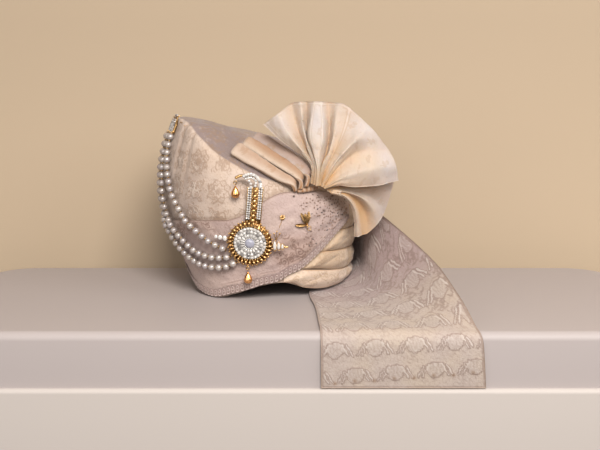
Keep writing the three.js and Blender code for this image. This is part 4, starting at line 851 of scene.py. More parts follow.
def block(name, hx, y0, y1, z0, z1, corner, edge, mat, back=None):
    """A block with rounded corners in plan and rounded upper edges; back is the rounding along its rear edge."""
    n = 14
    outline = []
    for cx, cy, a0 in ((hx - corner, y1 - corner, 0), (-hx + corner, y1 - corner, 90), (-hx + corner, y0 + corner, 180), (hx - corner, y0 + corner, 270)):
        for a in np.linspace(a0, a0 + 90, n):
            outline.append([cx, cy, math.cos(a * D2R), math.sin(a * D2R)])
    o = np.array(outline)
    rows = []
    for d, z in [(0, z0), (0, z1 - edge)] + [(edge * (1 - math.cos(t)), z1 - edge + edge * math.sin(t)) for t in np.linspace(0.15, math.pi / 2, 9)]:
        rr = corner - d
        rows.append(np.stack([o[:, 0] + rr * o[:, 2], o[:, 1] + rr * o[:, 3], np.full(len(o), z)], -1))
    R = np.stack(rows)
    if back:
        y = R[..., 1]
        R[..., 2] = np.where(y > y1 - back, z1 - (back - np.sqrt(np.clip(back**2 - (y - y1 + back) ** 2, 0, None))) * (R[..., 2] - z0) / (z1 - z0) - (z1 - R[..., 2]), R[..., 2])
    b = Build()
    n_, m_ = R.shape[:2]
    b.add(R.reshape(-1, 3), grid_faces(n_, m_, True), solid=False)
    inner = []
    top = R[-1]
    ctr = top.mean(0)
    rows2 = [top]
    for s in np.linspace(0.1, 1, 12):
        q = top + (ctr - top) * s
        if back:
            yy = q[:, 1]
            q[:, 2] = z1 - np.where(yy > y1 - back, back - np.sqrt(np.clip(back**2 - (yy - y1 + back) ** 2, 0, None)), 0)
        rows2.append(q)
    R2 = np.stack(rows2)
    b.add(R2.reshape(-1, 3), grid_faces(len(rows2), m_, True), solid=False)
    me = bpy.data.meshes.new(name)
    V = np.concatenate(b.v) * MM
    F = [list(map(int, f)) for ff in b.f for f in ff]
    me.from_pydata([tuple(v) for v in V], [], F)
    me.polygons.foreach_set("use_smooth", [True] * len(me.polygons))
    me.materials.append(mat)
    ob = bpy.data.objects.new(name, me)
    bpy.context.scene.collection.objects.link(ob)
    return ob


def plane(name, corners, mat):
    me = bpy.data.meshes.new(name)
    me.from_pydata([tuple(np.array(c) * MM) for c in corners], [], [(0, 1, 2, 3)])
    me.materials.append(mat)
    ob = bpy.data.objects.new(name, me)
    bpy.context.scene.collection.objects.link(ob)
    return ob


def area(name, loc, to, size, watts, colour):
    l = bpy.data.lights.new(name, "AREA")
    l.shape, l.size, l.size_y, l.energy, l.color = "RECTANGLE", size[0], size[1], watts, colour
    ob = bpy.data.objects.new(name, l)
    z = unit(np.array(loc) - np.array(to))
    x = unit(np.cross([0, 0, 1.0], z))
    y = np.cross(z, x)
    ob.matrix_world = Matrix([[x[0], y[0], z[0], loc[0]], [x[1], y[1], z[1], loc[1]], [x[2], y[2], z[2], loc[2]], [0, 0, 0, 1]])
    bpy.context.scene.collection.objects.link(ob)
    return ob


def stage():
    top = stage_mat("plinth_paint", (0.365, 0.325, 0.318), (0.35, 0.31, 0.304), 0.5)
    low = stage_mat("floor_paint", (0.44, 0.40, 0.375), (0.43, 0.39, 0.365), 0.6)
    wall = wall_mat()
    ob = block("plinth", 385, -262.5, 72, -62, 0, 60, 9, top)
    ob.location.x = 0.038
    floor = block("floor_block", 900, -268, 60, -220, -58.8, 60, 5, low)
    floor.location.x = 0.038
    plane("wall", [[-2500, 155, -400], [2500, 155, -400], [2500, 155, 1800], [-2500, 155, 1800]], wall)
    area("key", (0.36, -1.80, 1.42), (0.05, 0, 0.06), (1.0, 0.9), 70, (1.0, 0.955, 0.90))
    area("side", (1.6, -1.0, 1.0), (0.05, 0, 0.06), (1.3, 1.1), 18, (1.0, 0.96, 0.93))
    area("fill", (-1.5, -1.5, 0.7), (0, 0, 0.05), (1.6, 1.2), 12, (1.0, 0.95, 0.92))
    area("front", (-0.1, -2.5, 0.75), (0.05, 0, 0.06), (1.5, 0.9), 13, (1.0, 0.95, 0.91))
    w = bpy.data.worlds.new("world")
    w.use_nodes = True
    w.node_tree.nodes["Background"].inputs[0].default_value = (0.86, 0.70, 0.60, 1)
    w.node_tree.nodes["Background"].inputs[1].default_value = 0.055
    bpy.context.scene.world = w
    bpy.context.scene.view_settings.view_transform = "Standard"
    bpy.context.scene.view_settings.look = "None"


camera()
stage()


# ------------------------------------------------------------------ crown
def inner_radius(deg, t):
    a = deg * D2R
    re = 1 / np.hypot(np.cos(a) / HEAD_HALF_X, np.sin(a) / HEAD_HALF_Y)
    wide = np.maximum(re, wall_radius(deg, 0.5) - WALL_PAD)
    c = np.cos(math.pi * t / 2) ** 0.5
    r = (re + (wide - re) * np.sin(math.pi * t) ** 2) * c
    z = rim_z(deg) + (HEAD_DEPTH - HEAD_TILT * r * np.cos(a) - rim_z(deg)) * np.sin(math.pi * t / 2)
    return r, z


def crown():
    b = Build()
    WALL, ROOF, HOLE = 138, 28, 13
    turn = np.concatenate([np.arange(176, 292, 0.47), np.arange(292, 536, 1.4)])
    deg = np.sort(np.mod(turn, 360))
    N = len(deg)
    G = np.broadcast_to(deg, (WALL + 1, N))
    f = np.linspace(0, 1, WALL + 1)[:, None]
    z = rim_z(G) + (crest_z(G) - rim_z(G)) * f
    wall = polar(G, wall_radius(G, np.broadcast_to(f, G.shape)), z)
    t = np.linspace(0, 1, ROOF + 1)[1:, None, None]
    roof = wall[-1][None] * (1 - t) + APEX * t
    roof[..., 2] += ROOF_BUMP * np.sin(math.pi * t[..., 0])
    P = np.concatenate([wall, roof])
    # the ridge is a soft fold, not a corner
    Q = P.copy()
    w = np.exp(-((np.arange(len(P)) - WALL) / 4.0) ** 2)[:, None, None]
    for _ in range(10):
        S = Q.copy()
        S[1:-1] = 0.25 * Q[:-2] + 0.5 * Q[1:-1] + 0.25 * Q[2:]
        Q = Q + (S - Q) * w
    P = Q
    Nn = np.concatenate([normals(np.concatenate([P, P[:, :1]], 1))[:, :-1]])
    # point outwards
    flip = np.sign(np.einsum("ijk,ijk->ij", Nn, P - np.array([-5.0, 0, 90])).sum())
    Nn = Nn * flip
    Nn[-1] = [0, 0, 1]
    row = np.arange(len(P))[:, None]
    D = np.broadcast_to(deg, P.shape[:2])
    # cloth drawn together under the clip: soft creases that run down from the peak
    wall_part = row <= WALL
    near = np.exp(-((D - 212) / 15) ** 2) * smooth((P[..., 2] - 118) / 40) * wall_part
    gather = near * 0.6 * (np.sin((D - 190) / 360 * 2 * math.pi * 38 + 0.02 * P[..., 2]) + 0.5 * np.sin((D - 190) / 360 * 2 * math.pi * 71 + 0.03 * P[..., 2]))
    lump = 0.9 * wob(P, 60, 3) + 0.4 * wob(P, 20, 5)
    # woven figure: strong and grey to the left, faint in the middle, fine slanting lines over the top
    s = D * D2R * 118
    u = np.where(wall_part, s, P[..., 0] + 200)
    v = np.where(wall_part, P[..., 2], P[..., 1])
    ink = np.where(wall_part, BROCADE.at(s + 8, P[..., 2] + 16), 0.8 * BROCADE.at(P[..., 0] * 0.9 + 9, P[..., 1] * 0.9))
    bold = smooth((D - 178) / 10) * (1 - smooth((D - 240 + 0.25 * np.abs(P[..., 2] - 105)) / 12)) * (1 - smooth((P[..., 2] - 150) / 22))
    ink = ink * np.where(wall_part, 0.32 + 0.68 * bold, 0.62)
    # second tone: on the wall, the grey ground of the bold figure, a little more near the peak; over the roof, painted
    # shade of the up-facing top
    tint = np.where(wall_part, 0.38 * bold * (0.6 + 0.4 * wob(P, 30, 7)), 0.95 - 0.25 * smooth((row - WALL - 20) / 10))
    peak = np.exp(-(((D - 207) / 13) ** 2 + ((P[..., 2] - 182) / 22) ** 2)) * wall_part
    tint = np.clip(tint + 0.2 * peak, 0, 1)
    covered = wall_part & (((D > 168) & (D < 336) & (P[..., 2] < band_high(D) + 3)) | ((D < 162) | (D > 278)) & (P[..., 2] < 98))
    d = gather + lump * 0.8 + 0.7 * ink
    d = np.where(covered, np.minimum(d * 0.3, 0.3), np.minimum(d, 1.6))
    d = d * (1 - smooth((row - (WALL + ROOF - 6)) / 6))
    P = P + Nn * d[..., None]
    uv = np.stack([u, v], -1)
    # painted shade in the creases of the gather, and a painted shadow line on the crown just above the band's upper
    # edge
    crease_shade = np.clip(-gather[:-1], 0, 1) * 0.35
    band_edge_shadow = 0.38 * np.exp(-((P[:-1, :, 2] - band_high(D[:-1]) - 1.0) / 2.2) ** 2) * ((D[:-1] > 185) & (D[:-1] < 300))
    th = np.linspace(0, 0.985, HOLE)[::-1]
    inner = np.stack([polar(deg, *inner_radius(deg, np.full(N, k))) for k in th])
    R = np.concatenate([inner, P[:-1]])
    ink_all = np.concatenate([np.zeros((HOLE, N)), ink[:-1]])
    uv_all = np.concatenate([np.stack([np.broadcast_to(deg * 1.6, (HOLE, N)), inner[..., 2]], -1), uv[:-1]])
    # painted shade: the hollow inside is fully dark
    deep = np.concatenate([np.full((HOLE, N), 1.0), np.clip(crease_shade + band_edge_shadow, 0, 1)])
    rings(b, R, uv_all, ink_all, deep, tint=np.concatenate([np.zeros((HOLE, N)), tint[:-1]]))
    return b.object("crown_cloth", M_BROCADE, ["crown"])


# ------------------------------------------------------------------ front band, its lace and its sequins
def front_band():
    b = Build()
    N, M = 372, 106
    deg = np.linspace(168, 336, N)[:, None]
    v = np.linspace(0, 1, M)[None]
    lo, hi = band_low(deg), band_high(deg)
    z = lo + (hi - lo) * v
    D = np.broadcast_to(deg, z.shape)
    off = band_outer(D, z)
    P = on_wall(D, z, off)
    Nn = unit(P * [1, 1, 0])
    s = D * D2R * 121
    ink = EMBROIDERY.at(1.2 * s + 6, 1.2 * z + 0.4 * s)
    edge = smooth(v / 0.10) * smooth((1 - v) / 0.05)
    # bold scrolls under the brooch's right side and along the upper left edge, faint elsewhere
    bold = 1.25 * np.exp(-((D - 285) / 12) ** 4 - ((z - 58) / 17) ** 4) + np.exp(-((D - 224) / 24) ** 2 - ((band_high(D) - 8 - z) / 10) ** 2)
    ink = ink * edge
    drawn = np.clip(2.4 * ink, 0, 1) * np.clip(0.09 + 0.34 * bold, 0, 0.43)
    ink = ink * np.clip(0.35 + 0.8 * bold, 0, 1)
    wr = 0.5 * wob(P, 34, 11) + 0.3 * wob(P, 12, 12)
    # soft diagonal folds that run with the band up to the knot, and two ridges above the lace
    ph = (z - lerp(lo, hi, 0.5)) * 0.16 - (D - 250) * 0.035
    folds = 0.45 * np.sin(ph * 2.2) * smooth((D - 255) / 25) * edge
    rise = z - lo
    ridge = sum(np.exp(-((rise - h) / 0.8) ** 2) for h in (11.5, 14.5)) * smooth((D - 240) / 10) * (1 - smooth((D - 318) / 8))
    d = 0.6 * ink + wr * edge + folds + 0.5 * ridge - 0.5
    P = P + Nn * d[..., None]
    warm = np.clip(1.1 * bold, 0, 1) * 0.8 + 0.35 * np.exp(-((rise - 13) / 2.0) ** 2) * smooth((D - 240) / 10)
    back = on_wall(D, z, np.broadcast_to(band_lift(D) + 0.05, z.shape))
    thick = np.linalg.norm((P - back), axis=-1)
    # painted shadow line along the band's upper edge, where it meets the crown
    top = smooth((v - 0.975) / 0.025)
    sheet(b, P, Nn, np.maximum(thick, 0.5), np.stack([s, z], -1), drawn, 0.6 * top + 0 * z, tint=np.clip(warm, 0, 1) * 0.7)
    return b.object("band_cloth", M_BAND, ["front_band"])


def lace():
    b = Build()
    N, M = 744, 13
    deg = np.linspace(196, 333, N)[:, None]
    slant = np.abs(band_low(deg + 1) - band_low(deg - 1)) / 3.9
    lo = band_low(deg) + 0.9
    wide = 7.5 * np.minimum(2, np.hypot(1, slant)) * (0.5 + 0.5 * np.minimum(1, (333 - deg) / 8))
    line = on_wall(deg[:, 0], lo[:, 0])
    s = np.concatenate([[0], np.cumsum(np.linalg.norm(np.diff(line, axis=0), axis=1))])[:, None]
    ph = s / 5.6 * 2 * math.pi
    t = np.linspace(0, 1, M)[None]
    scallop = 1.0 + 0.16 * np.abs(np.sin(ph / 2))
    z = lo + wide * t * scallop
    D = np.broadcast_to(deg, z.shape)
    u = np.mod(s / 5.6, 1.0) - 0.5
    # each scallop: an arched petal with a ridge along its middle and a row of loops at the foot
    arch = np.exp(-((np.hypot(u * 2.0, (t - 0.42) * 1.5) - 0.62) / 0.16) ** 2)
    seed = np.exp(-((u * 5.6) ** 2 + ((t - 0.45) * 7.5) ** 2) / 1.6)
    cord_ = np.exp(-((t - 0.06) / 0.05) ** 2) * (0.7 + 0.3 * np.sin(ph * 4))
    ink = np.clip(arch + seed + cord_, 0, 1)
    off = band_outer(D, z) + 0.35 + 0.25 + 0.85 * ink
    P = on_wall(D, z, off)
    Nn = unit(P * [1, 1, 0])
    thick = 0.3 + 0.85 * ink
    sheet(b, P, Nn, thick, np.stack([np.broadcast_to(s, z.shape), z], -1), ink, 0 * z)
    return b.object("band_lace", M_LACE, ["band_border"])


# ------------------------------------------------------------------ side wraps, rear wrap
def wrap(w):
    b = Build()
    rows = WRAPS[w]
    N, M = 300, 31
    a, c = rows[0, 0], rows[-1, 0]
    deg = np.linspace(a, c, N)[:, None]
    lo, hi = spline(rows[:, 0], rows[:, 1], deg), spline(rows[:, 0], rows[:, 2], deg)
    if w:
        below = spline(WRAPS[w - 1][:, 0], WRAPS[w - 1][:, 2], deg)
        lo = np.maximum(lo, below + 0.25)
    v = np.linspace(0, 1, M)[None]
    z = lo + (hi - lo) * v
    D = np.broadcast_to(deg, z.shape)
    DB = np.minimum(D, 336.0)
    hid = band_lift(DB) - 0.5
    bare = np.where(D > 336, 10, band_low(DB) - z - 1.5)
    off = lerp(np.minimum(hid, 2.6), SKIN_GAP + WRAP_THICK, smooth(bare / 9))
    off = np.where(D > 336, np.minimum(off, lerp(2.6, SKIN_GAP + WRAP_THICK, smooth((D - 336.5) / 9))), off)
    off = np.minimum(off, lerp(SKIN_GAP + WRAP_THICK, 2.0, smooth((D - 484) / 10)))
    rnd = 0.22 + 0.78 * np.sin(math.pi * (0.04 + 0.92 * v)) ** 0.55
    base = np.maximum(np.minimum(SKIN_GAP + 0.9, hid), off * rnd)
    P0 = on_wall(D, z, base)
    s = D * D2R * 108
    ink = EMBROIDERY.at(s * 1.05 + 31 * w, z * 1.05 + 13 * w)
    body = smooth((off - 3.5) / 3) * np.sin(math.pi * v) ** 0.7
    slant = 0.5 * np.sin(z * 0.42 - 0.16 * D + w) + 0.35 * np.sin(z * 0.8 + 0.22 * D + 2 * w)
    wr = 0.4 * np.sin(z * 0.55 + 0.9 * np.sin(D * 0.10 + w) + w) + 0.35 * slant + 0.4 * wob(P0, 26, 21 + w)
    cross = np.exp(-(((z - 0.55 * (D - 318 - 14 * w) - 30 - 20 * w) / 1.6) ** 2)) + np.exp(-(((z + 0.4 * (D - 330) - 34 - 22 * w) / 1.4) ** 2))
    d = (wr * 0.8 + 0.30 * ink - 0.6 * cross) * body - 0.25 * body
    P = on_wall(D, z, base + d)
    Nn = unit(P * [1, 1, 0])
    back = SKIN_GAP
    # painted shade along each wrap's lower and upper edges, where it meets its neighbours
    deep = (1 - smooth(v / 0.09)) * 0.4 + (1 - smooth((1 - v) / 0.09)) * 0.6
    sheet(b, P, Nn, np.maximum(base + d - back, 0.3), np.stack([s, z], -1), 0.8 * ink * body, np.clip(deep, 0, 1) * smooth((off - 2.5) / 3), tint=0 * z + (0.9 if w == 0 else 0.1))
    return b.object(f"wrap_cloth_{w}", M_WRAP, [f"side_wrap_{w}"])


def rear_wrap():
    b = Build()
    N, M = 50, 128
    deg = np.linspace(495, 519, N)[:, None]
    v = np.linspace(0, 1, M)[None]
    lo, hi = rim_z(deg) + 1, crest_z(deg) - 6
    z = lo + (hi - lo) * v
    D = np.broadcast_to(deg, z.shape)
    e = (D - 495) / 24
    lift = lerp(np.interp(D, REAR[:, 0], REAR[:, 1]), SKIN_GAP, smooth((z - 100) / 30))
    out = 2.6 * (0.55 + 0.45 * np.sin(math.pi * np.clip(e, 0, 1)))
    ink = BROCADE.at(D * D2R * 118, z)
    P = on_wall(D, z, lift + out + 0.35 * ink + 0.3 * np.sin(D * 0.9) * np.sin(math.pi * e) - 0.3)
    Nn = unit(P * [1, 1, 0])
    sheet(b, P, Nn, out * 0.9, np.stack([D * D2R * 118, z], -1), ink, 0.2 + 0 * z)
    return b.object("rear_wrap_cloth", M_BROCADE, ["rear_wrap"])


# ------------------------------------------------------------------ fan, lobe, pleats, knot
def fold_sheet(rows, depth, per, along, tight=0.5):
    """A folded sheet through its fold lines, finely: points [n, m, 3] and how far inside a fold each lies, which sets
    the painted fold shade.
    """
    L = np.array(rows, float).reshape(len(rows), -1, 3)
    k, q = L.shape[:2]
    t = np.linspace(0, q - 1, along)
    lines = np.stack([spline(np.arange(q), L[i], t) for i in range(k)])          # k, along, 3
    u = np.linspace(0, k - 1, (k - 1) * per + 1)
    flat = spline(np.arange(k), lines.reshape(k, -1), u).reshape(len(u), along, 3)
    i = np.clip(np.floor(u).astype(int), 0, k - 2)
    w = (u - i)[:, None, None]
    straight = lines[i] * (1 - w) + lines[i + 1] * w
    P = lerp(straight, flat, 1 - tight)
    dp = np.interp(u, np.arange(k), depth)[:, None] * np.ones((1, along))
    return P, dp, u, t


def turned(P):
    n = normals(P)
    return n * np.sign(-n[..., 1].mean() or 1)


def lengths(P):
    a = np.concatenate([np.zeros((1, P.shape[1])), np.cumsum(np.linalg.norm(np.diff(P, axis=0), axis=-1), axis=0)])
    c = np.concatenate([np.zeros((P.shape[0], 1)), np.cumsum(np.linalg.norm(np.diff(P, axis=1), axis=-1), axis=1)], 1)
    return np.stack([a, c], -1)


def turned_away_shade(Nn, deep, tint):
    """Painted shade: a warm tone where the cloth turns from the lamp, and less of the second tone there."""
    facing = Nn @ unit(np.array([0.14, -0.78, 0.60]))
    warm = smooth((0.80 - facing) / 0.75)
    return np.clip(np.maximum(deep, 0.20 * warm), 0, 1), tint * (1 - 0.6 * warm)


def fan():
    b = Build()
    P, dp, u, t = fold_sheet(FAN, FAN_DEPTH, 17, 110, 0.5)
    # starched silk rounds each fold a little
    k_ = np.exp(-(np.arange(-30, 31) / 7.8) ** 2)
    k_ /= k_.sum()
    ext = np.concatenate([2 * P[:1] - P[30:0:-1], P, 2 * P[-1:] - P[-2:-32:-1]])
    soft = sum(k_[i] * ext[i:i + len(P)] for i in range(61))
    P = lerp(P, soft, 0.38 * smooth(t / 1.2)[None, :, None])
    Nn = turned(P)
    fade = smooth(t / 3.2)[None]
    uv = lengths(P)
    ink = 0.75 * SPRIG.at(uv[..., 0], uv[..., 1])
    wr = 0.9 * wob(P, 34, 31) * fade + 0.3 * wob(P, 12, 32) * fade
    radial = 0.4 * np.sin(u * 9.0)[:, None] * (1 - smooth((t - 1.0) / 2.2))[None]
    P = P + Nn * (wr + radial + 0.25 * ink)[..., None]
    Nn = turned(P)
    U, T = u[:, None], t[None]
    # light woven lines beside the folds' edges
    hem = sum(np.exp(-((U - k) / 0.065) ** 2) for k in (0.25, 5.12, 5.88, 9.12)) + sum(np.exp(-((T - h) / 0.027) ** 2) for h in (3.93,))
    ink = np.clip(ink * (1 - np.clip(hem, 0, 1)) + np.clip(hem, 0, 1) * 0.95 * smooth((T - 1.2) / 1.5), 0, 1)
    # painted shade: warmer and darker the further inside a fold, and at the gathered foot by the knot
    deep = dp * (1 - 0.62 * smooth((T - 1.4) / 2.2)) + 0.62 * (1 - smooth((T - 0.1) / 1.3))
    panel = smooth((T - 1.7) / 1.8) * (0.55 + 0.45 * np.exp(-((U - 5.5) / 0.7) ** 2) + 0.25 * smooth((U - 8.8) / 0.8) - 0.35 * np.exp(-((U - 3.3) / 0.6) ** 2) - 0.30 * np.exp(-((U - 8.0) / 0.6) ** 2))
    panel = panel + 0.8 * smooth((T - 3.3) / 0.6) * smooth((U - 10.2) / 0.8) - 0.5 * np.exp(-((U - 11.8) / 0.7) ** 2) * (1 - smooth((T - 3.0) / 0.6))
    tint = np.clip(panel * (0.85 + 0.3 * wob(P, 40, 35)), 0, 1)
    deep, tint = turned_away_shade(Nn, deep, tint)
    thick = rounded(1.9, *P.shape[:2], (True, True), 2)
    sheet(b, P, Nn, thick, uv, ink, np.clip(deep, 0, 1), tint=tint)
    return b.object("fan_cloth", M_FAN, ["fan"]), uv


def lobe():
    b = Build()
    P, dp, u, t = fold_sheet(LOBE, LOBE_DEPTH, 16, 84, 0.3)
    uv = lengths(P)
    Nn = turned(P)
    ink = SPRIG.at(uv[..., 0] + 9, uv[..., 1])
    P = P + Nn * (0.35 * wob(P, 24, 41) + 0.2 * ink)[..., None]
    Nn = turned(P)
    # painted shade: warmer and darker inside the folds and near the knot
    deep = dp * (1 - 0.3 * smooth((t - 2) / 2)[None]) + 0.4 * (1 - smooth(t / 1.0))[None]
    tint = np.clip((1 - smooth((u - 2.2) / 1.2))[:, None] * smooth((t - 1.5) / 2)[None], 0, 1)
    deep, tint = turned_away_shade(Nn, deep, tint)
    thick = rounded(1.8, *P.shape[:2], (True, True), 2)
    sheet(b, P, Nn, thick, uv, ink, np.clip(deep, 0, 1), tint=tint)
    return b.object("lobe_cloth", M_FAN, ["fan_lobe"]), uv


def pleat(k):
    b = Build()
    L = np.array(PLEATS[k], float)
    n = 118
    t = np.linspace(0, 5, n)
    path = spline(np.arange(6), L, t)
    half = np.interp(t, range(6), [[3.4, 5, 6.6, 7.4, 8.6, 9.4], [3.4, 5, 6.6, 7.2, 7.6, 7.6], [3.4, 5, 6.6, 7.2, 7.4, 7.2]][k])
    depth = np.interp(t, range(6), [2.2, 2.8, 3.2, 3.6, 3.8, 3.6])
    along = unit(np.gradient(path, axis=0))
    up = unit(np.array([0, 0.55, 0.83]) - along * (along @ np.array([0, 0.55, 0.83]))[:, None])
    out = np.cross(up, along)
    out = out * np.sign(-out[:, 1].mean())
    # profile of one fold: a sharp lower lip that stands out over the fold below, then a flat slope back up
    q = np.linspace(0, 1, 52, endpoint=False)
    a = q * 2 * math.pi
    cu, co = np.cos(a), np.sin(a)
    lip = np.sign(co) * np.abs(co) ** 0.7 * (0.80 - 0.42 * cu)
    wide = np.sign(cu) * np.abs(cu) ** 0.8
    # the left end is rolled over, not cut
    end = np.sqrt(np.clip(1 - np.clip((t - 4.72) / 0.30, 0, 1) ** 2, 0.04, 1))
    R = path[:, None] + (half * (0.35 + 0.65 * end))[:, None, None] * wide[None, :, None] * up[:, None] + ((depth * end)[:, None] * lip[None])[..., None] * out[:, None]
    uv = np.stack([np.broadcast_to(q * 40, R.shape[:2]), np.broadcast_to(t[:, None] * 18, R.shape[:2])], -1)
    ink = 0.6 * SPRIG.at(uv[..., 0] + 5 * k, uv[..., 1])
    hem = np.exp(-((cu + 0.86) / 0.05) ** 2)[None] * smooth(t / 1.5)[:, None]
    ink = np.clip(ink * (1 - hem) + hem, 0, 1)
    Nr = unit(R - path[:, None])
    R = R + Nr * (0.35 * wob(R, 18, 51 + k) + 0.15 * ink)[..., None]
    # painted shadow over each fold's upper part under the lip of the fold above, painted shade at the knot end, and a
    # dark painted line along the fold's lower edge
    under_lip_shade = np.clip(smooth((cu + 0.72) / 1.1), 0, 1)[None] * [0.5, 0.72, 0.45][k] * (1 - 0.35 * smooth((t - 3.4) / 1.6))[:, None]
    deep = np.clip(under_lip_shade + 0.5 * (1 - smooth(t / 1.2))[:, None] + 0.5 * np.where(cu < -0.97, 1, 0)[None], 0, 1)
    # painted shade: the mauve second tone, mostly on the top fold, stands in for the shade on the folds' upturned sides
    tint = np.broadcast_to(([0.2, 0.0, 0.85][k] * smooth((cu + 0.9) / 0.5))[None], R.shape[:2])
    rings(b, R, uv, ink, deep, tint=tint)
    return b.object(f"pleat_cloth_{k + 1}", M_PLEAT, [f"side_pleat_{k + 1}"])


def knot():
    b = Build()
    rows = [[33, 121.5, 2.2], [40, 122, 3.2], [48, 122.5, 3.6], [56, 123, 3.2], [62.5, 123.5, 2.0]]
    x = np.linspace(33, 62.5, 80)
    z = np.interp(x, [r[0] for r in rows], [r[1] for r in rows])
    rr = spline([r[0] for r in rows], [r[2] for r in rows], x)
    deg = np.degrees(np.arctan2(-104.5, x))
    c = on_wall(deg, np.full(80, 121.5), 7.3)
    c[:, 2] = z + 2.4
    out = polar(deg, 1.0, 0.0)
    a = np.arange(28) / 28 * 2 * math.pi
    ridge = 1 + 0.05 * np.sin(x * 1.1)
    R = c[:, None] + (rr * ridge)[:, None, None] * (0.8 * np.cos(a)[None, :, None] * out[:, None] + 0.85 * np.sin(a)[None, :, None] * np.array([0, 0, 1.0]))
    # painted shade over the gathered knot, darkest in the hollows between its ridges
    deep = np.broadcast_to((0.55 + 0.45 * np.clip(-np.sin(x * 1.1), 0, 1))[:, None], R.shape[:2])
    rings(b, R, None, None, deep)
    return b.object("knot_cloth", M_PLEAT, ["knot_gather"])


# ------------------------------------------------------------------ tail
def tail():
    b = Build()
    st = [on_wall(r[0], np.array(r[2:6], float), r[1]).ravel() for r in TAIL_WRAP] + [np.array(r, float) for r in TAIL]
    st = np.array(st)
    last = len(st) - 1
    # even steps along the cloth
    t0 = np.linspace(0, last, 1400)
    C = spline(np.arange(last + 1), st, t0)
    mid = C[:, 3:6]
    d = np.concatenate([[0], np.cumsum(np.linalg.norm(np.diff(mid, axis=0), axis=1))])
    n = int(d[-1] / 1.58)
    t = np.interp(np.linspace(0, d[-1], n), d, t0)
    C = spline(np.arange(last + 1), st, t).reshape(n, 4, 3)
    M = 102
    w = np.linspace(0, 3, M)
    P = np.stack([spline(np.arange(4), C[i], w) for i in range(n)])
    floor = TAIL_THICK / 2 + 0.1
    P[..., 2] = np.where((t < last - 4.2)[:, None], np.maximum(P[..., 2], floor), P[..., 2])
    Nn = normals(P)
    Nn = Nn * np.sign(Nn[n // 2, M // 2, 2] or 1)
    uv = lengths(P)
    s = uv[..., 1].copy()
    along = d[-1] - np.broadcast_to(np.linspace(0, d[-1], n)[:, None], s.shape)     # from the hem
    g = np.linspace(-20, d[-1] + 20, 1200)
    step = 1 - 0.46 * smooth((g - 52) / 26) * (1 - smooth((g - 330) / 70))
    g_in = np.concatenate([[0], np.cumsum((step[1:] + step[:-1]) / 2 * np.diff(g))]) - 20
    ink = 0.9 * LATTICE.at(s * 0.972 + 25.6, np.interp(along, g, g_in) - 0.075 * s - 8.0)
    up = smooth((along - 40) / 90)     # soft and pale where it hangs, drawn in darker thread further back
    ink = np.where(ink < 0.46, ink * (0.5 + 0.6 * up), np.where(ink > 0.64, 0.64 + (ink - 0.64) * (0.5 + 0.5 * up), ink))
    hem = np.minimum(along, np.minimum(s, s[:, -1:] - s))
    edge = np.exp(-((hem - 1.4) / 0.8) ** 2)
    ink = np.clip(ink * smooth((hem - 1.5) / 2) + 0.3 * edge, 0, 1)
    lie = smooth((P[..., 2] - 3) / 12) * (t < last - 4)[:, None]
    wr = (0.5 * wob(P, 46, 61)) * lie
    P2 = P + Nn * (0.38 * ink + wr * 0.5 + TAIL_THICK / 2 - 0.35)[..., None]
    # painted shade: more of the mauve second tone towards the back, where the lying cloth faces up and gets less lamp
    # light
    back_shade = smooth((P2[..., 1] + 190) / 110)
    thick = rounded(1.35, n, M, (True, True), 2)
    deep = 0.6 * np.exp(-(hem / 0.9) ** 2)
    for k in range(9):           # dark knots of thread in a row above the hem
        deep = np.maximum(deep, np.exp(-(((s - 14.5 - 20.3 * k) / 1.7) ** 2 + ((along - 4.0 - 0.075 * s - 1.2 * (k % 2)) / 1.7) ** 2)))
    sheet(b, P2, Nn, thick, np.stack([s, along], -1), ink, deep, tint=back_shade)
    return b.object("tail_cloth", M_TAIL, ["tail"]), (float(s[:, -1].mean()), float(d[-1]))


# ------------------------------------------------------------------ pearls
def bead_offset(deg, z):
    over = smooth((band_high(deg) + 4 - z) / 6) * ((deg > 176) & (deg < 330))
    return SKIN_GAP + over * (BAND_THICK + BAND_PUFF + 0.5)


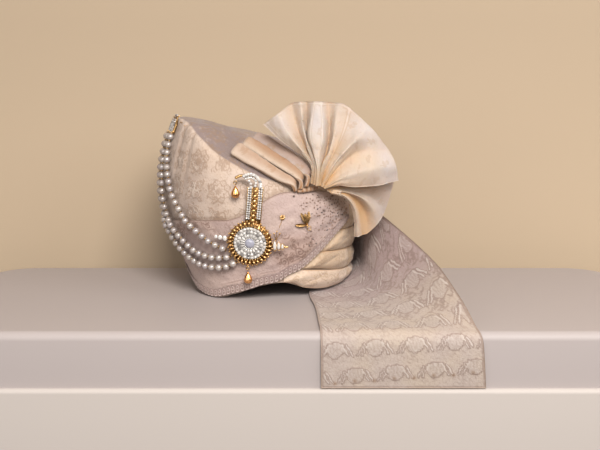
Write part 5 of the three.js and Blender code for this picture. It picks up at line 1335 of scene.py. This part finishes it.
def strand(tag, rows):
    r = np.array(rows, float)
    pts = on_wall(r[:, 0], r[:, 1], bead_offset(r[:, 0], r[:, 1]) + PEARL_D / 2 + 0.5)
    ch = np.concatenate([[0], np.cumsum(np.linalg.norm(np.diff(pts, axis=0), axis=1))])
    fine = spline(ch, pts, np.linspace(0, ch[-1], 1200))
    d = np.concatenate([[0], np.cumsum(np.linalg.norm(np.diff(fine, axis=0), axis=1))])
    at = lambda s: np.stack([np.interp(s, d, fine[:, k]) for k in range(3)], -1)
    count = int(round(d[-1] / PEARL_PITCH))
    pitch = d[-1] / count
    s = pitch * (np.arange(count) + 0.5)
    C = at(s)
    T = unit(at(s + 0.5) - at(s - 0.5))
    g = np.random.default_rng(70 + len(rows))
    O = unit(C * [1, 1, 0])
    O = unit(O - T * np.einsum("ij,ij->i", O, T)[:, None])
    A = np.stack([O, np.cross(T, O), T], 1)
    b = Build()
    size = PEARL_D / 2 * g.uniform(0.965, 1.02, (count, 1))
    balls(b, C, size * [1, 1, 0.985], A, 20, 12, 0, g.uniform(0, 1, count))
    ob = b.object(f"pearls_{tag}", M_PEARL, [f"pearl_strand_{tag}"])
    b = Build()
    edge = pitch * np.arange(count + 1)
    E = at(np.clip(edge, 0.3, d[-1] - 0.3))
    Te = unit(at(edge + 0.5) - at(edge - 0.5))
    Oe = unit(E * [1, 1, 0])
    Oe = unit(Oe - Te * np.einsum("ij,ij->i", Oe, Te)[:, None])
    Ae = np.stack([Oe, np.cross(Te, Oe), Te], 1)
    balls(b, E, [1.25, 1.25, 0.7], Ae, 9, 6, 0, np.full(len(E), 0.45))
    side = np.cross(Te, Oe)
    balls(b, E + side * 1.7 - Oe * 0.6, [0.7, 0.7, 0.7], Ae, 6, 5, 0, np.full(len(E), 0.6))
    balls(b, E - side * 1.7 - Oe * 0.6, [0.7, 0.7, 0.7], Ae, 6, 5, 0, np.full(len(E), 0.6))
    tube(b, at(np.linspace(0, d[-1], 160)), 0.42, 6)
    b.object(f"spacers_{tag}", M_GOLD)
    return count, d[-1]


# ------------------------------------------------------------------ brooch
SEAT_A, SEAT_O = seat(262, 68, 6.2)
LEAN = np.array([[20, 3.2, 0], [34, 4.6, -0.4], [48, 5.8, -2.2], [62, 6.6, -5.6]])
HOOK = np.array([[6.6, 62, -5.6], [6.9, 67.5, -7.2], [4.4, 71.6, -8.8], [-0.6, 73.6, -10], [-6.2, 74.2, -10.6], [-11.6, 74, -10.2], [-15.6, 72.4, -9]])


def local(p):
    return SEAT_O + np.asarray(p, float) @ SEAT_A


def lean(y):
    return spline(LEAN[:, 0], LEAN[:, 1:], np.asarray(y, float))


def brooch():
    X, Y, Z = SEAT_A
    g = Build()
    # back plate and rims
    th = np.arange(72) / 72 * 2 * math.pi
    prof = [(0.5, 0.0), (24.3, 0.0), (24.5, 0.7), (24.0, 1.3), (19.6, 1.4), (19.2, 2.4), (18.6, 1.5), (0.5, 1.5)]
    R = np.stack([local(np.stack([r * np.cos(th), r * np.sin(th), np.full(72, z)], -1)) for r, z in prof])
    rings(g, R, ink=np.full(R.shape[:2], 0.75))
    # ring of radial beads, each a plump bar with a dark gap beside it
    n = 30
    a = (np.arange(n) + 0.5) / n * 2 * math.pi
    C = local(np.stack([22.5 * np.cos(a), 22.5 * np.sin(a), np.full(n, 3.0)], -1))
    rad = np.cos(a)[:, None] * X + np.sin(a)[:, None] * Y
    tan = -np.sin(a)[:, None] * X + np.cos(a)[:, None] * Y
    tw = unit(rad + 0.25 * tan)
    A = np.stack([tw, np.cross(np.broadcast_to(Z, tw.shape), tw), np.broadcast_to(Z, tw.shape)], 1)
    balls(g, C, [2.9, 1.6, 2.6], A, 14, 10)
    C2 = local(np.stack([25.4 * np.cos(a + 0.1), 25.4 * np.sin(a + 0.1), np.full(n, 2.2)], -1))
    balls(g, C2, [1.15, 1.15, 1.1], None, 10, 7)
    m = 40
    a2 = np.arange(m) / m * 2 * math.pi
    balls(g, local(np.stack([19.4 * np.cos(a2), 19.4 * np.sin(a2), np.full(m, 3.0)], -1)), [0.95] * 3, None, 8, 6)
    # stem plate, its edges and the gold column
    y = np.linspace(19, 62, 60)
    l = lean(y)
    for s in (-1, 1):
        tube(g, local(np.stack([l[:, 0] + s * 8.5, y, l[:, 1] + 1.6], -1)), 0.55, 8)
        tube(g, local(np.stack([l[:, 0] + s * 3.5, y, l[:, 1] + 2.0], -1)), 0.5, 8)
    up = np.stack([np.broadcast_to(X, (60, 3)) * 8.4, np.broadcast_to(X, (60, 3)) * -8.4], 1)
    mid = local(np.stack([l[:, 0], y, l[:, 1] + 0.2], -1))
    pl = np.stack([mid + X * 8.4 + Z * 1.1, mid - X * 8.4 + Z * 1.1, mid - X * 8.4, mid + X * 8.4], 1)
    rings(g, pl, ink=np.full((60, 4), 0.45))
    yb = 26.5 + np.arange(7) * 5.35
    lb = lean(yb)
    balls(g, local(np.stack([lb[:, 0], yb, lb[:, 1] + 3.1], -1)), [2.8, 2.5, 2.4], None, 16, 10)
    ys = yb[:-1] + 2.67
    ls = lean(ys)
    for s in (-1, 1):
        balls(g, local(np.stack([ls[:, 0] + s * 2.6, ys, ls[:, 1] + 2.4], -1)), [1.2, 1.2, 1.0], None, 8, 6)
    # hook: gold rim, wide at the stem and thin at the tip
    hk = spline(np.arange(7), HOOK, np.linspace(0, 6, 90))
    hw = np.interp(np.linspace(0, 6, 90), [0, 2.5, 4, 6], [4.6, 4.0, 2.2, 1.5])
    tube(g, local(hk + [0, 0, 0.6]), np.minimum(hw, 1.5), 10)
    q = np.linspace(3.6, 6, 9)
    hp = spline(np.arange(7), HOOK, q)
    balls(g, local(hp + [0, 0, 2.0]), [1.75, 1.75, 1.6], None, 12, 8)
    # wings
    tube(g, local(np.array([[21, -2.2, 1.0], [30, -2.6, 1.0], [39.4, -3.3, 0.7]])), 1.3, 8)
    balls(g, local([[40.2, -3.4, 1.6], [41.6, -3.5, 1.3]]), [1.7, 1.2, 1.2], None, 12, 8)
    tube(g, local(np.array([[-21, 4.2, 0.9], [-29, 5.2, 0.7], [-37, 6.0, 0.2]])), 1.2, 8)
    # spray of gold twigs above the right wing
    for ang, ln in ((62, 9.5), (84, 11), (104, 8.5)):
        c, s = math.cos(ang * D2R), math.sin(ang * D2R)
        p0 = np.array([29.5, 3.6, 1.8])
        pts = np.array([p0, p0 + [c * ln * 0.5, s * ln * 0.5, 0.5], p0 + [c * ln, s * ln, 0.3]])
        tube(g, local(spline([0, 1, 2], pts, np.linspace(0, 2, 12))), 0.4, 6)
        balls(g, local([p0 + [c * ln, s * ln, 0.5]]), [1.0, 1.0, 0.9], None, 10, 7)
    g.object("brooch_gold", M_GOLD, ["brooch_base"])

    r = Build()
    rr = np.random.default_rng(81)
    # frosted petals round the middle, then two rows of round stones
    for n, rad_, rx, ry, h, z, dark in ((18, 8.9, 1.25, 2.2, 1.7, 3.3, 0.0), (20, 13.0, 1.95, 1.85, 1.7, 2.9, 0.22), (26, 16.7, 1.9, 1.75, 1.6, 2.4, 0.16)):
        for i in range(n):
            a = (i + 0.5 * (n == 20)) / n * 2 * math.pi
            ra = math.cos(a) * X + math.sin(a) * Y
            ta = -math.sin(a) * X + math.cos(a) * Y
            zz = unit(Z + rr.uniform(-0.25, 0.25) * ra + rr.uniform(-0.25, 0.25) * ta)
            stone(r, local([rad_ * math.cos(a), rad_ * math.sin(a), z]), rx, ry, h, ta, ra, zz, 8, 0, 0.8 if rr.uniform() < dark else rr.uniform(0, 0.22), rr.uniform())
    rims = np.arange(60) / 60 * 2 * math.pi
    rings(r, np.stack([local(np.stack([q * np.cos(rims), q * np.sin(rims), np.full(60, h)], -1)) for q, h in ((6.4, 1.6), (18.2, 1.6), (18.2, 2.2), (6.4, 2.2))]), ink=np.full((4, 60), 0.25), loop=True)
    r.object("rosette_stones", M_CRYSTAL, ["rosette_crystals"], flat=True)
    r = Build()
    stone(r, local([0, 0, 2.6]), 5.5, 5.5, 3.0, X, Y, Z, 14)
    rim = np.arange(20) / 20 * 2 * math.pi
    r.object("centre_gem", M_STONE, ["centre_stone"], flat=True)
    r = Build()
    balls(r, local(np.stack([6.1 * np.cos(rim), 6.1 * np.sin(rim), np.full(20, 3.6)], -1)), [0.75] * 3, None, 8, 6)
    r.object("centre_setting", M_CRYSTAL)

    def stones_along(path, name, node, size, cols, seed, halfw):
        s_ = Build()
        rg = np.random.default_rng(seed)
        d = np.concatenate([[0], np.cumsum(np.linalg.norm(np.diff(path, axis=0), axis=1))])
        pos = np.arange(size, d[-1], size * 1.02)
        for c in cols:
            for k, p in enumerate(pos):
                q = np.array([np.interp(p + (0.5 * size if c % 2 else 0), d, path[:, j]) for j in range(3)])
                q2 = np.array([np.interp(min(p + 0.6, d[-1]), d, path[:, j]) for j in range(3)])
                tt = unit((q2 - np.array([np.interp(p, d, path[:, j]) for j in range(3)])) @ SEAT_A)
                sd = unit(np.cross(tt, Z))
                zz = unit(np.cross(sd, tt) + rg.uniform(-0.25, 0.25) * sd + rg.uniform(-0.25, 0.25) * tt)
                ctr = local(q) + sd * c * halfw
                stone(s_, ctr, size * 0.47, size * 0.47, size * 0.5, sd, tt, zz, 8, 0, 0.6 if rg.uniform() < 0.14 else rg.uniform(0, 0.25), rg.uniform())
        s_.object(name, M_CRYSTAL, [node], flat=True)

    y = np.linspace(25, 61.5, 60)
    l = lean(y)
    left = np.stack([l[:, 0] - 6.0, y, l[:, 1] + 2.6], -1)
    stones_along(left, "stem_stones_left", "stem_crystals_left", 2.5, (-0.5, 0.5), 83, 2.4)
    right = np.stack([l[:, 0] + 6.0, y, l[:, 1] + 2.6], -1)
    stones_along(right, "stem_stones_right", "stem_crystals_right", 2.5, (-0.5, 0.5), 84, 2.4)
    s_ = Build()
    rg = np.random.default_rng(85)
    arcs = (([[12.6, 63.6, -1.8], [12.0, 68.5, -3.0], [8.8, 73.4, -4.4], [3.4, 76.4, -5.2], [-2.2, 76.6, -5.2], [-6.6, 74.6, -5.2]], 11, 2.05),
            ([[6.4, 64.2, -3.4], [7.4, 68.4, -4.6], [4.2, 72.0, -6.0], [-0.6, 73.0, -6.6], [-4.6, 71.6, -6.8]], 7, 1.75),
            ([[1.6, 62.6, -3.2], [1.2, 66.2, -4.6], [-1.0, 69.2, -5.8]], 3, 1.7))
    for pts, count, rad_ in arcs:
        pts = np.array(pts)
        d_ = np.concatenate([[0], np.cumsum(np.linalg.norm(np.diff(pts, axis=0), axis=1))])
        for q in np.linspace(0, d_[-1], count):
            c_ = spline(d_, pts, np.array([q]))[0]
            zz = unit(Z + rg.uniform(-0.3, 0.3) * X + rg.uniform(-0.3, 0.3) * Y)
            stone(s_, local(c_), rad_, rad_, 1.7, X, np.cross(zz, X), zz, 9, 0, 0.65 if rg.uniform() < 0.16 else rg.uniform(0, 0.3), rg.uniform())
    s_.object("hook_stones", M_CRYSTAL, flat=True)

    for i, (x, y, rx, ry) in enumerate([(28.0, -2.4, 2.1, 5.6), (32.5, -2.8, 1.9, 4.3), (36.6, -3.1, 1.7, 3.1)]):
        s_ = Build()
        stone(s_, local([x, y, 2.3 - 0.2 * i]), rx * 0.92, ry * 0.85, 2.0, X, Y, Z, 12, tip=0.25)
        ring = np.arange(18) / 18 * 2 * math.pi
        s_.object(f"wing_gem_{i + 1}", M_CRYSTAL, [f"wing_stone_{i + 1}"], flat=True)
        g2 = Build()
        balls(g2, local(np.stack([x + (rx + 0.3) * np.cos(ring), y + (ry + 0.2) * np.sin(ring), np.full(18, 2.0)], -1)), [0.5] * 3, None, 7, 5)
        g2.object(f"wing_setting_{i + 1}", M_GOLD)
    for i, (x, y, rx, ry) in enumerate([(-28.2, 5.0, 2.8, 3.3), (-33.6, 5.7, 2.7, 2.9), (-38.4, 6.4, 2.1, 2.3)]):
        s_ = Build()
        stone(s_, local([x, y, 2.3 - 0.4 * i]), rx * 0.95, ry * 0.95, 1.9, X, Y, Z, 10, tip=0.1)
        s_.object(f"left_gem_{i + 1}", M_CRYSTAL, [f"left_stone_{i + 1}"], flat=True)


def drop(tag, x, y, z, gap):
    b = Build()
    a = np.arange(24) / 24 * 2 * math.pi
    c = np.array([x, y - 2.6, z])
    ringc = np.stack([c[0] + 1.9 * np.cos(a), c[1] + 1.9 * np.sin(a), np.full(24, c[2])], -1)
    th = np.arange(10) / 10 * 2 * math.pi
    R = np.stack([np.stack([c[0] + (1.9 + 0.5 * np.cos(th)) * math.cos(q), c[1] + (1.9 + 0.5 * np.cos(th)) * math.sin(q), c[2] + 0.5 * np.sin(th)], -1) for q in a])
    rings(b, local(R), loop=True)
    if gap > 1:      # second, plain link down to the drop's eye
        R2 = np.stack([np.stack([np.full(10, x) + 0.45 * np.cos(th), c[1] - 3.4 + (2.3 + 0.45 * np.sin(th) * 0) * math.sin(q) + 0 * th, c[2] + (1.1) * math.cos(q) + 0.45 * np.sin(th)], -1) for q in a])
        rings(b, local(R2), loop=True)
    b.object(f"jump_ring_{tag}", M_GOLD, [f"drop_link_{tag}"])
    b = Build()
    top = y - 5.4 - gap
    prof = np.array([[0.05, 0.0], [0.85, -0.4], [1.25, -0.9], [0.9, -1.5], [1.4, -2.1], [2.0, -2.9], [2.9, -4.4], [3.8, -6.4], [4.5, -8.4], [4.75, -9.8], [4.5, -11.3], [3.6, -12.7], [2.4, -13.5], [1.1, -13.9], [0.05, -14.0]])
    q = spline(np.arange(len(prof)), prof, np.linspace(0, len(prof) - 1, 56))
    th = np.arange(32) / 32 * 2 * math.pi
    R = np.stack([np.stack([x + r * np.cos(th), np.full(32, top + h), z + r * np.sin(th)], -1) for r, h in q])
    rings(b, local(R))
    b.object(f"teardrop_{tag}", M_DROP, [f"drop_{tag}"])


# ------------------------------------------------------------------ clip at the peak
def clip():
    b = Build()
    deg0, half, M_ = 192.0, 7.0, 23
    rows = [("w", z) for z in np.linspace(180.6, 193.6, 17)] + [("t", t) for t in np.linspace(0.0, 0.02, 4)]
    sN = np.linspace(-1, 1, M_)
    F, Bk = [], []
    for i, (kind, q) in enumerate(rows):
        w = 1 - 0.45 * smooth((i - 10) / 10) ** 1.5          # narrows to a rounded tip
        d = deg0 - 1.0 * (1 - w) + sN * half * w
        if kind == "w":
            F.append(on_wall(d, np.full(M_, q), 3.8 - 0.9 * np.abs(sN) ** 3))
            Bk.append(on_wall(d, np.full(M_, q), 1.3))
        else:
            c = polar(d, wall_radius(d, 1.0), crest_z(d))
            c = c + (APEX - c) * q
            c = c + polar(d, max(0, 0.1 - q) * 30, 0.0)
            c[:, 2] += ROOF_BUMP * math.sin(math.pi * q)
            F.append(c + np.stack([0 * sN, 0 * sN, 2.4 - 0.9 * np.abs(sN) ** 3], -1))
            Bk.append(c + np.stack([0 * sN, 0 * sN, 1.0 + 0 * sN], -1))
    P, Q = np.array(F), np.array(Bk)
    for arr in (P, Q):
        for _ in range(2):
            arr[1:-1] = 0.25 * arr[:-2] + 0.5 * arr[1:-1] + 0.25 * arr[2:]
    n, m = P.shape[:2]
    V = np.concatenate([P.reshape(-1, 3), Q.reshape(-1, 3)])
    R = np.concatenate([P, Q[:, ::-1]], 1)
    rings(b, R, ink=np.full(R.shape[:2], 0.6))
    N_ = unit(P - Q)
    for i in np.linspace(0, n - 1, 13):
        i0 = int(round(i))
        for j in (1, M_ - 2):
            balls(b, P[i0, j] + N_[i0, j] * 0.3, [0.85] * 3, None, 8, 6)
    for edge in (0, M_ - 1):
        tube(b, P[:, edge] + N_[:, edge] * 0.1, 0.5, 8)
    g = np.random.default_rng(91)
    # small gold links that tie the strings to the clip, and a few over the fold beside it
    for d_, z_ in ((188.6, 181.6), (193.6, 181.8), (198.8, 181.8)):
        balls(b, [on_wall(d_, z_, 4.6)], [1.5, 1.5, 1.2], None, 10, 7)
    for k in range(4):
        d = 201.5 + k * 2.1
        balls(b, [on_wall(d, crest_z(d) - 3.0 + 0.4 * math.sin(2 * k), 0.9)], [0.8, 0.8, 0.6], None, 8, 6, 0, [0.3])
    b.object("clip_gold", M_GOLD, ["peak_clip"])
    r = Build()
    for i in range(11):
        for j in (4, 8, 11, 14, 18):
            ii = min(n - 1, int(round((i + 0.5 * (j % 2)) * (n - 1) / 11)))
            nz = unit(N_[ii, j] + g.uniform(-0.25, 0.25, 3))
            X_ = unit(P[ii, min(M_ - 1, j + 1)] - P[ii, j - 1])
            stone(r, P[ii, j] + nz * 0.15, 1.1, 1.1, 1.0, X_, np.cross(nz, X_), nz, 8, 0, 0.75 if g.uniform() < 0.4 else 0.4, g.uniform())
    r.object("clip_stones", M_CRYSTAL, flat=True)


# ------------------------------------------------------------------ leaf motif, flower stud, sequins and stitches
def motif():
    A, o = seat(291, 89, 8.2)
    place = lambda p: o + np.asarray(p, float) @ A
    b = Build()
    for ang, ln, w in ((116, 16, 4.4), (98, 14, 3.6), (80, 16, 4.4), (176, 14, 3.8)):
        c, s = math.cos(ang * D2R), math.sin(ang * D2R)
        n, m = 26, 11
        t, q = np.linspace(0.02, 0.98, n)[:, None], np.linspace(-1, 1, m)[None]
        wd = w / 2 * np.sin(math.pi * t ** 1.15) ** 0.6
        x, y = ln * t + 0 * q, wd * q
        z = 0.5 + 1.5 * np.sin(math.pi * t) * 0.6 + 0.5 * np.abs(q) * np.sin(math.pi * t) - 0.35 * (np.abs(q) < 0.15) + 0.18 * np.sin(t * 50 + 4 * np.abs(q))
        P = place(np.stack([1.2 + x * c - y * s, -3 + x * s + y * c, z], -1))
        N_ = np.broadcast_to(A[2], P.shape)
        sheet(b, P, N_, 0.5, ink=0.35 + 0.35 * (1 - np.abs(q)) + 0 * t)
    balls(b, [place([1.4, -3.2, 1.2])], [1.7, 1.7, 1.1], None, 12, 8)
    th, a = np.arange(10) / 10 * 2 * math.pi, np.arange(24) / 24 * 2 * math.pi
    R = np.stack([np.stack([4.0 + (2.3 + 0.5 * np.cos(th)) * math.cos(k), -6.6 + (2.3 + 0.5 * np.cos(th)) * math.sin(k), 0.6 + 0.5 * np.sin(th)], -1) for k in a])
    rings(b, place(R), loop=True)
    b.object("leaf_gold", M_GOLD, ["leaf_motif"])
    A2, o2 = seat(278.5, 96, 5.0)
    pl2 = lambda p: o2 + np.asarray(p, float) @ A2
    b = Build()
    for k in range(7):
        a = k / 7 * 2 * math.pi
        ax = np.stack([math.cos(a) * A2[0] + math.sin(a) * A2[1], -math.sin(a) * A2[0] + math.cos(a) * A2[1], A2[2]])
        balls(b, [pl2([2.0 * math.cos(a), 2.0 * math.sin(a), 0.6])], [1.35, 0.85, 0.55], ax[None], 10, 7)
    balls(b, [pl2([0, 0, 1.0])], [1.1, 1.1, 1.0], None, 10, 7, 0, [0.7])
    # thread that hangs from the stud
    p = [[-0.3, -2, 0.4], [-1.4, -5.5, 0.7], [-3.0, -9, 0.7], [-3.8, -11.6, 0.6]]
    tube(b, pl2(spline(np.arange(4), np.array(p), np.linspace(0, 3, 20))), 0.28, 6)
    b.object("stud_gold", M_GOLD, ["flower_stud"])


M_SEQUIN = gem("sequin", (0.34, 0.235, 0.185), (0.20, 0.125, 0.095), 0.25, 0.2, 0.3)


def sequins():
    """Small dark seed beads sewn over the right of the band, thinning out, and stitches along its upper edge."""
    b = Build()
    g = np.random.default_rng(101)
    pts, tries = [], 0
    while len(pts) < 130 and tries < 9000:
        tries += 1
        d, z = g.uniform(289, 328), g.uniform(55, 116)
        if not band_low(d) + 10 < z < band_high(d) - 4:
            continue
        w = math.exp(-((d - 311) / 11) ** 2 - ((z - 97) / 18) ** 2) + 0.18
        if g.uniform() > w:
            continue
        p = on_wall(d, z, band_outer(d, z) + 0.25)
        if all(np.linalg.norm(p - o) > 3.0 for o in pts):
            pts.append(p)
    C = np.array(pts)
    O = unit(C * [1, 1, 0])
    up = np.array([0, 0, 1.0])
    A = []
    for o in O:
        a = g.uniform(0, math.pi)
        x = unit(np.cross(up, o))
        y = np.cross(o, x)
        A.append([math.cos(a) * x + math.sin(a) * y, -math.sin(a) * x + math.cos(a) * y, o])
    r = g.uniform(0.7, 1.15, (len(C), 1))
    balls(b, C, r * [1.3, 0.85, 0.5], np.array(A), 8, 6, 0, np.where(g.uniform(0, 1, len(C)) < 0.12, 0.8, g.uniform(0, 0.25, len(C))))
    for d, z, s in ((285.5, 118.5, 1.3), (297.5, 118.5, 0.8), (301, 117, 0.8), (313, 114, 1.3), (304, 100, 1.6)):
        p = on_wall(d, z, band_outer(d, z) + 0.4)
        balls(b, [p], [1.1 * s, 1.1 * s, 0.9 * s], None, 10, 7, 0, [0.6])
    b.object("sequins", M_SEQUIN)


crown_ob = crown()
band_ob = front_band()
lace_ob = lace()
wraps_ob = [wrap(k) for k in range(4)]
SIZE_OF = {"band": SIZES[0], "lace": SIZES[1]}
rear_ob = rear_wrap()
SIZE_OF["rear"] = SIZES[-1]
fan_ob, fan_uv = fan()
SIZE_OF["fan"] = SIZES[-1]
lobe_ob, lobe_uv = lobe()
SIZE_OF["lobe"] = SIZES[-1]
pleats_ob = [pleat(k) for k in range(3)]
knot_ob = knot()
tail_ob, tail_size = tail()
SIZE_OF["tail"] = SIZES[-1]
for tag, rows in STRANDS.items():
    print("strand", tag, strand(tag, rows))
brooch()
drop("upper", -16.4, 69.6, -5, 0.4)
drop("lower", -2.8, -26.2, 2.2, 1)
clip()
motif()
sequins()

for nm, (a_, b_, c_) in SIZE_OF.items():
    print("SHEET", nm, round(a_, 1), round(b_, 1), round(c_ / 1e6, 5), flush=True)

print("tail", tail_size, "fan", fan_uv[-1, :, 0].max(), fan_uv[:, -1, 1].max())
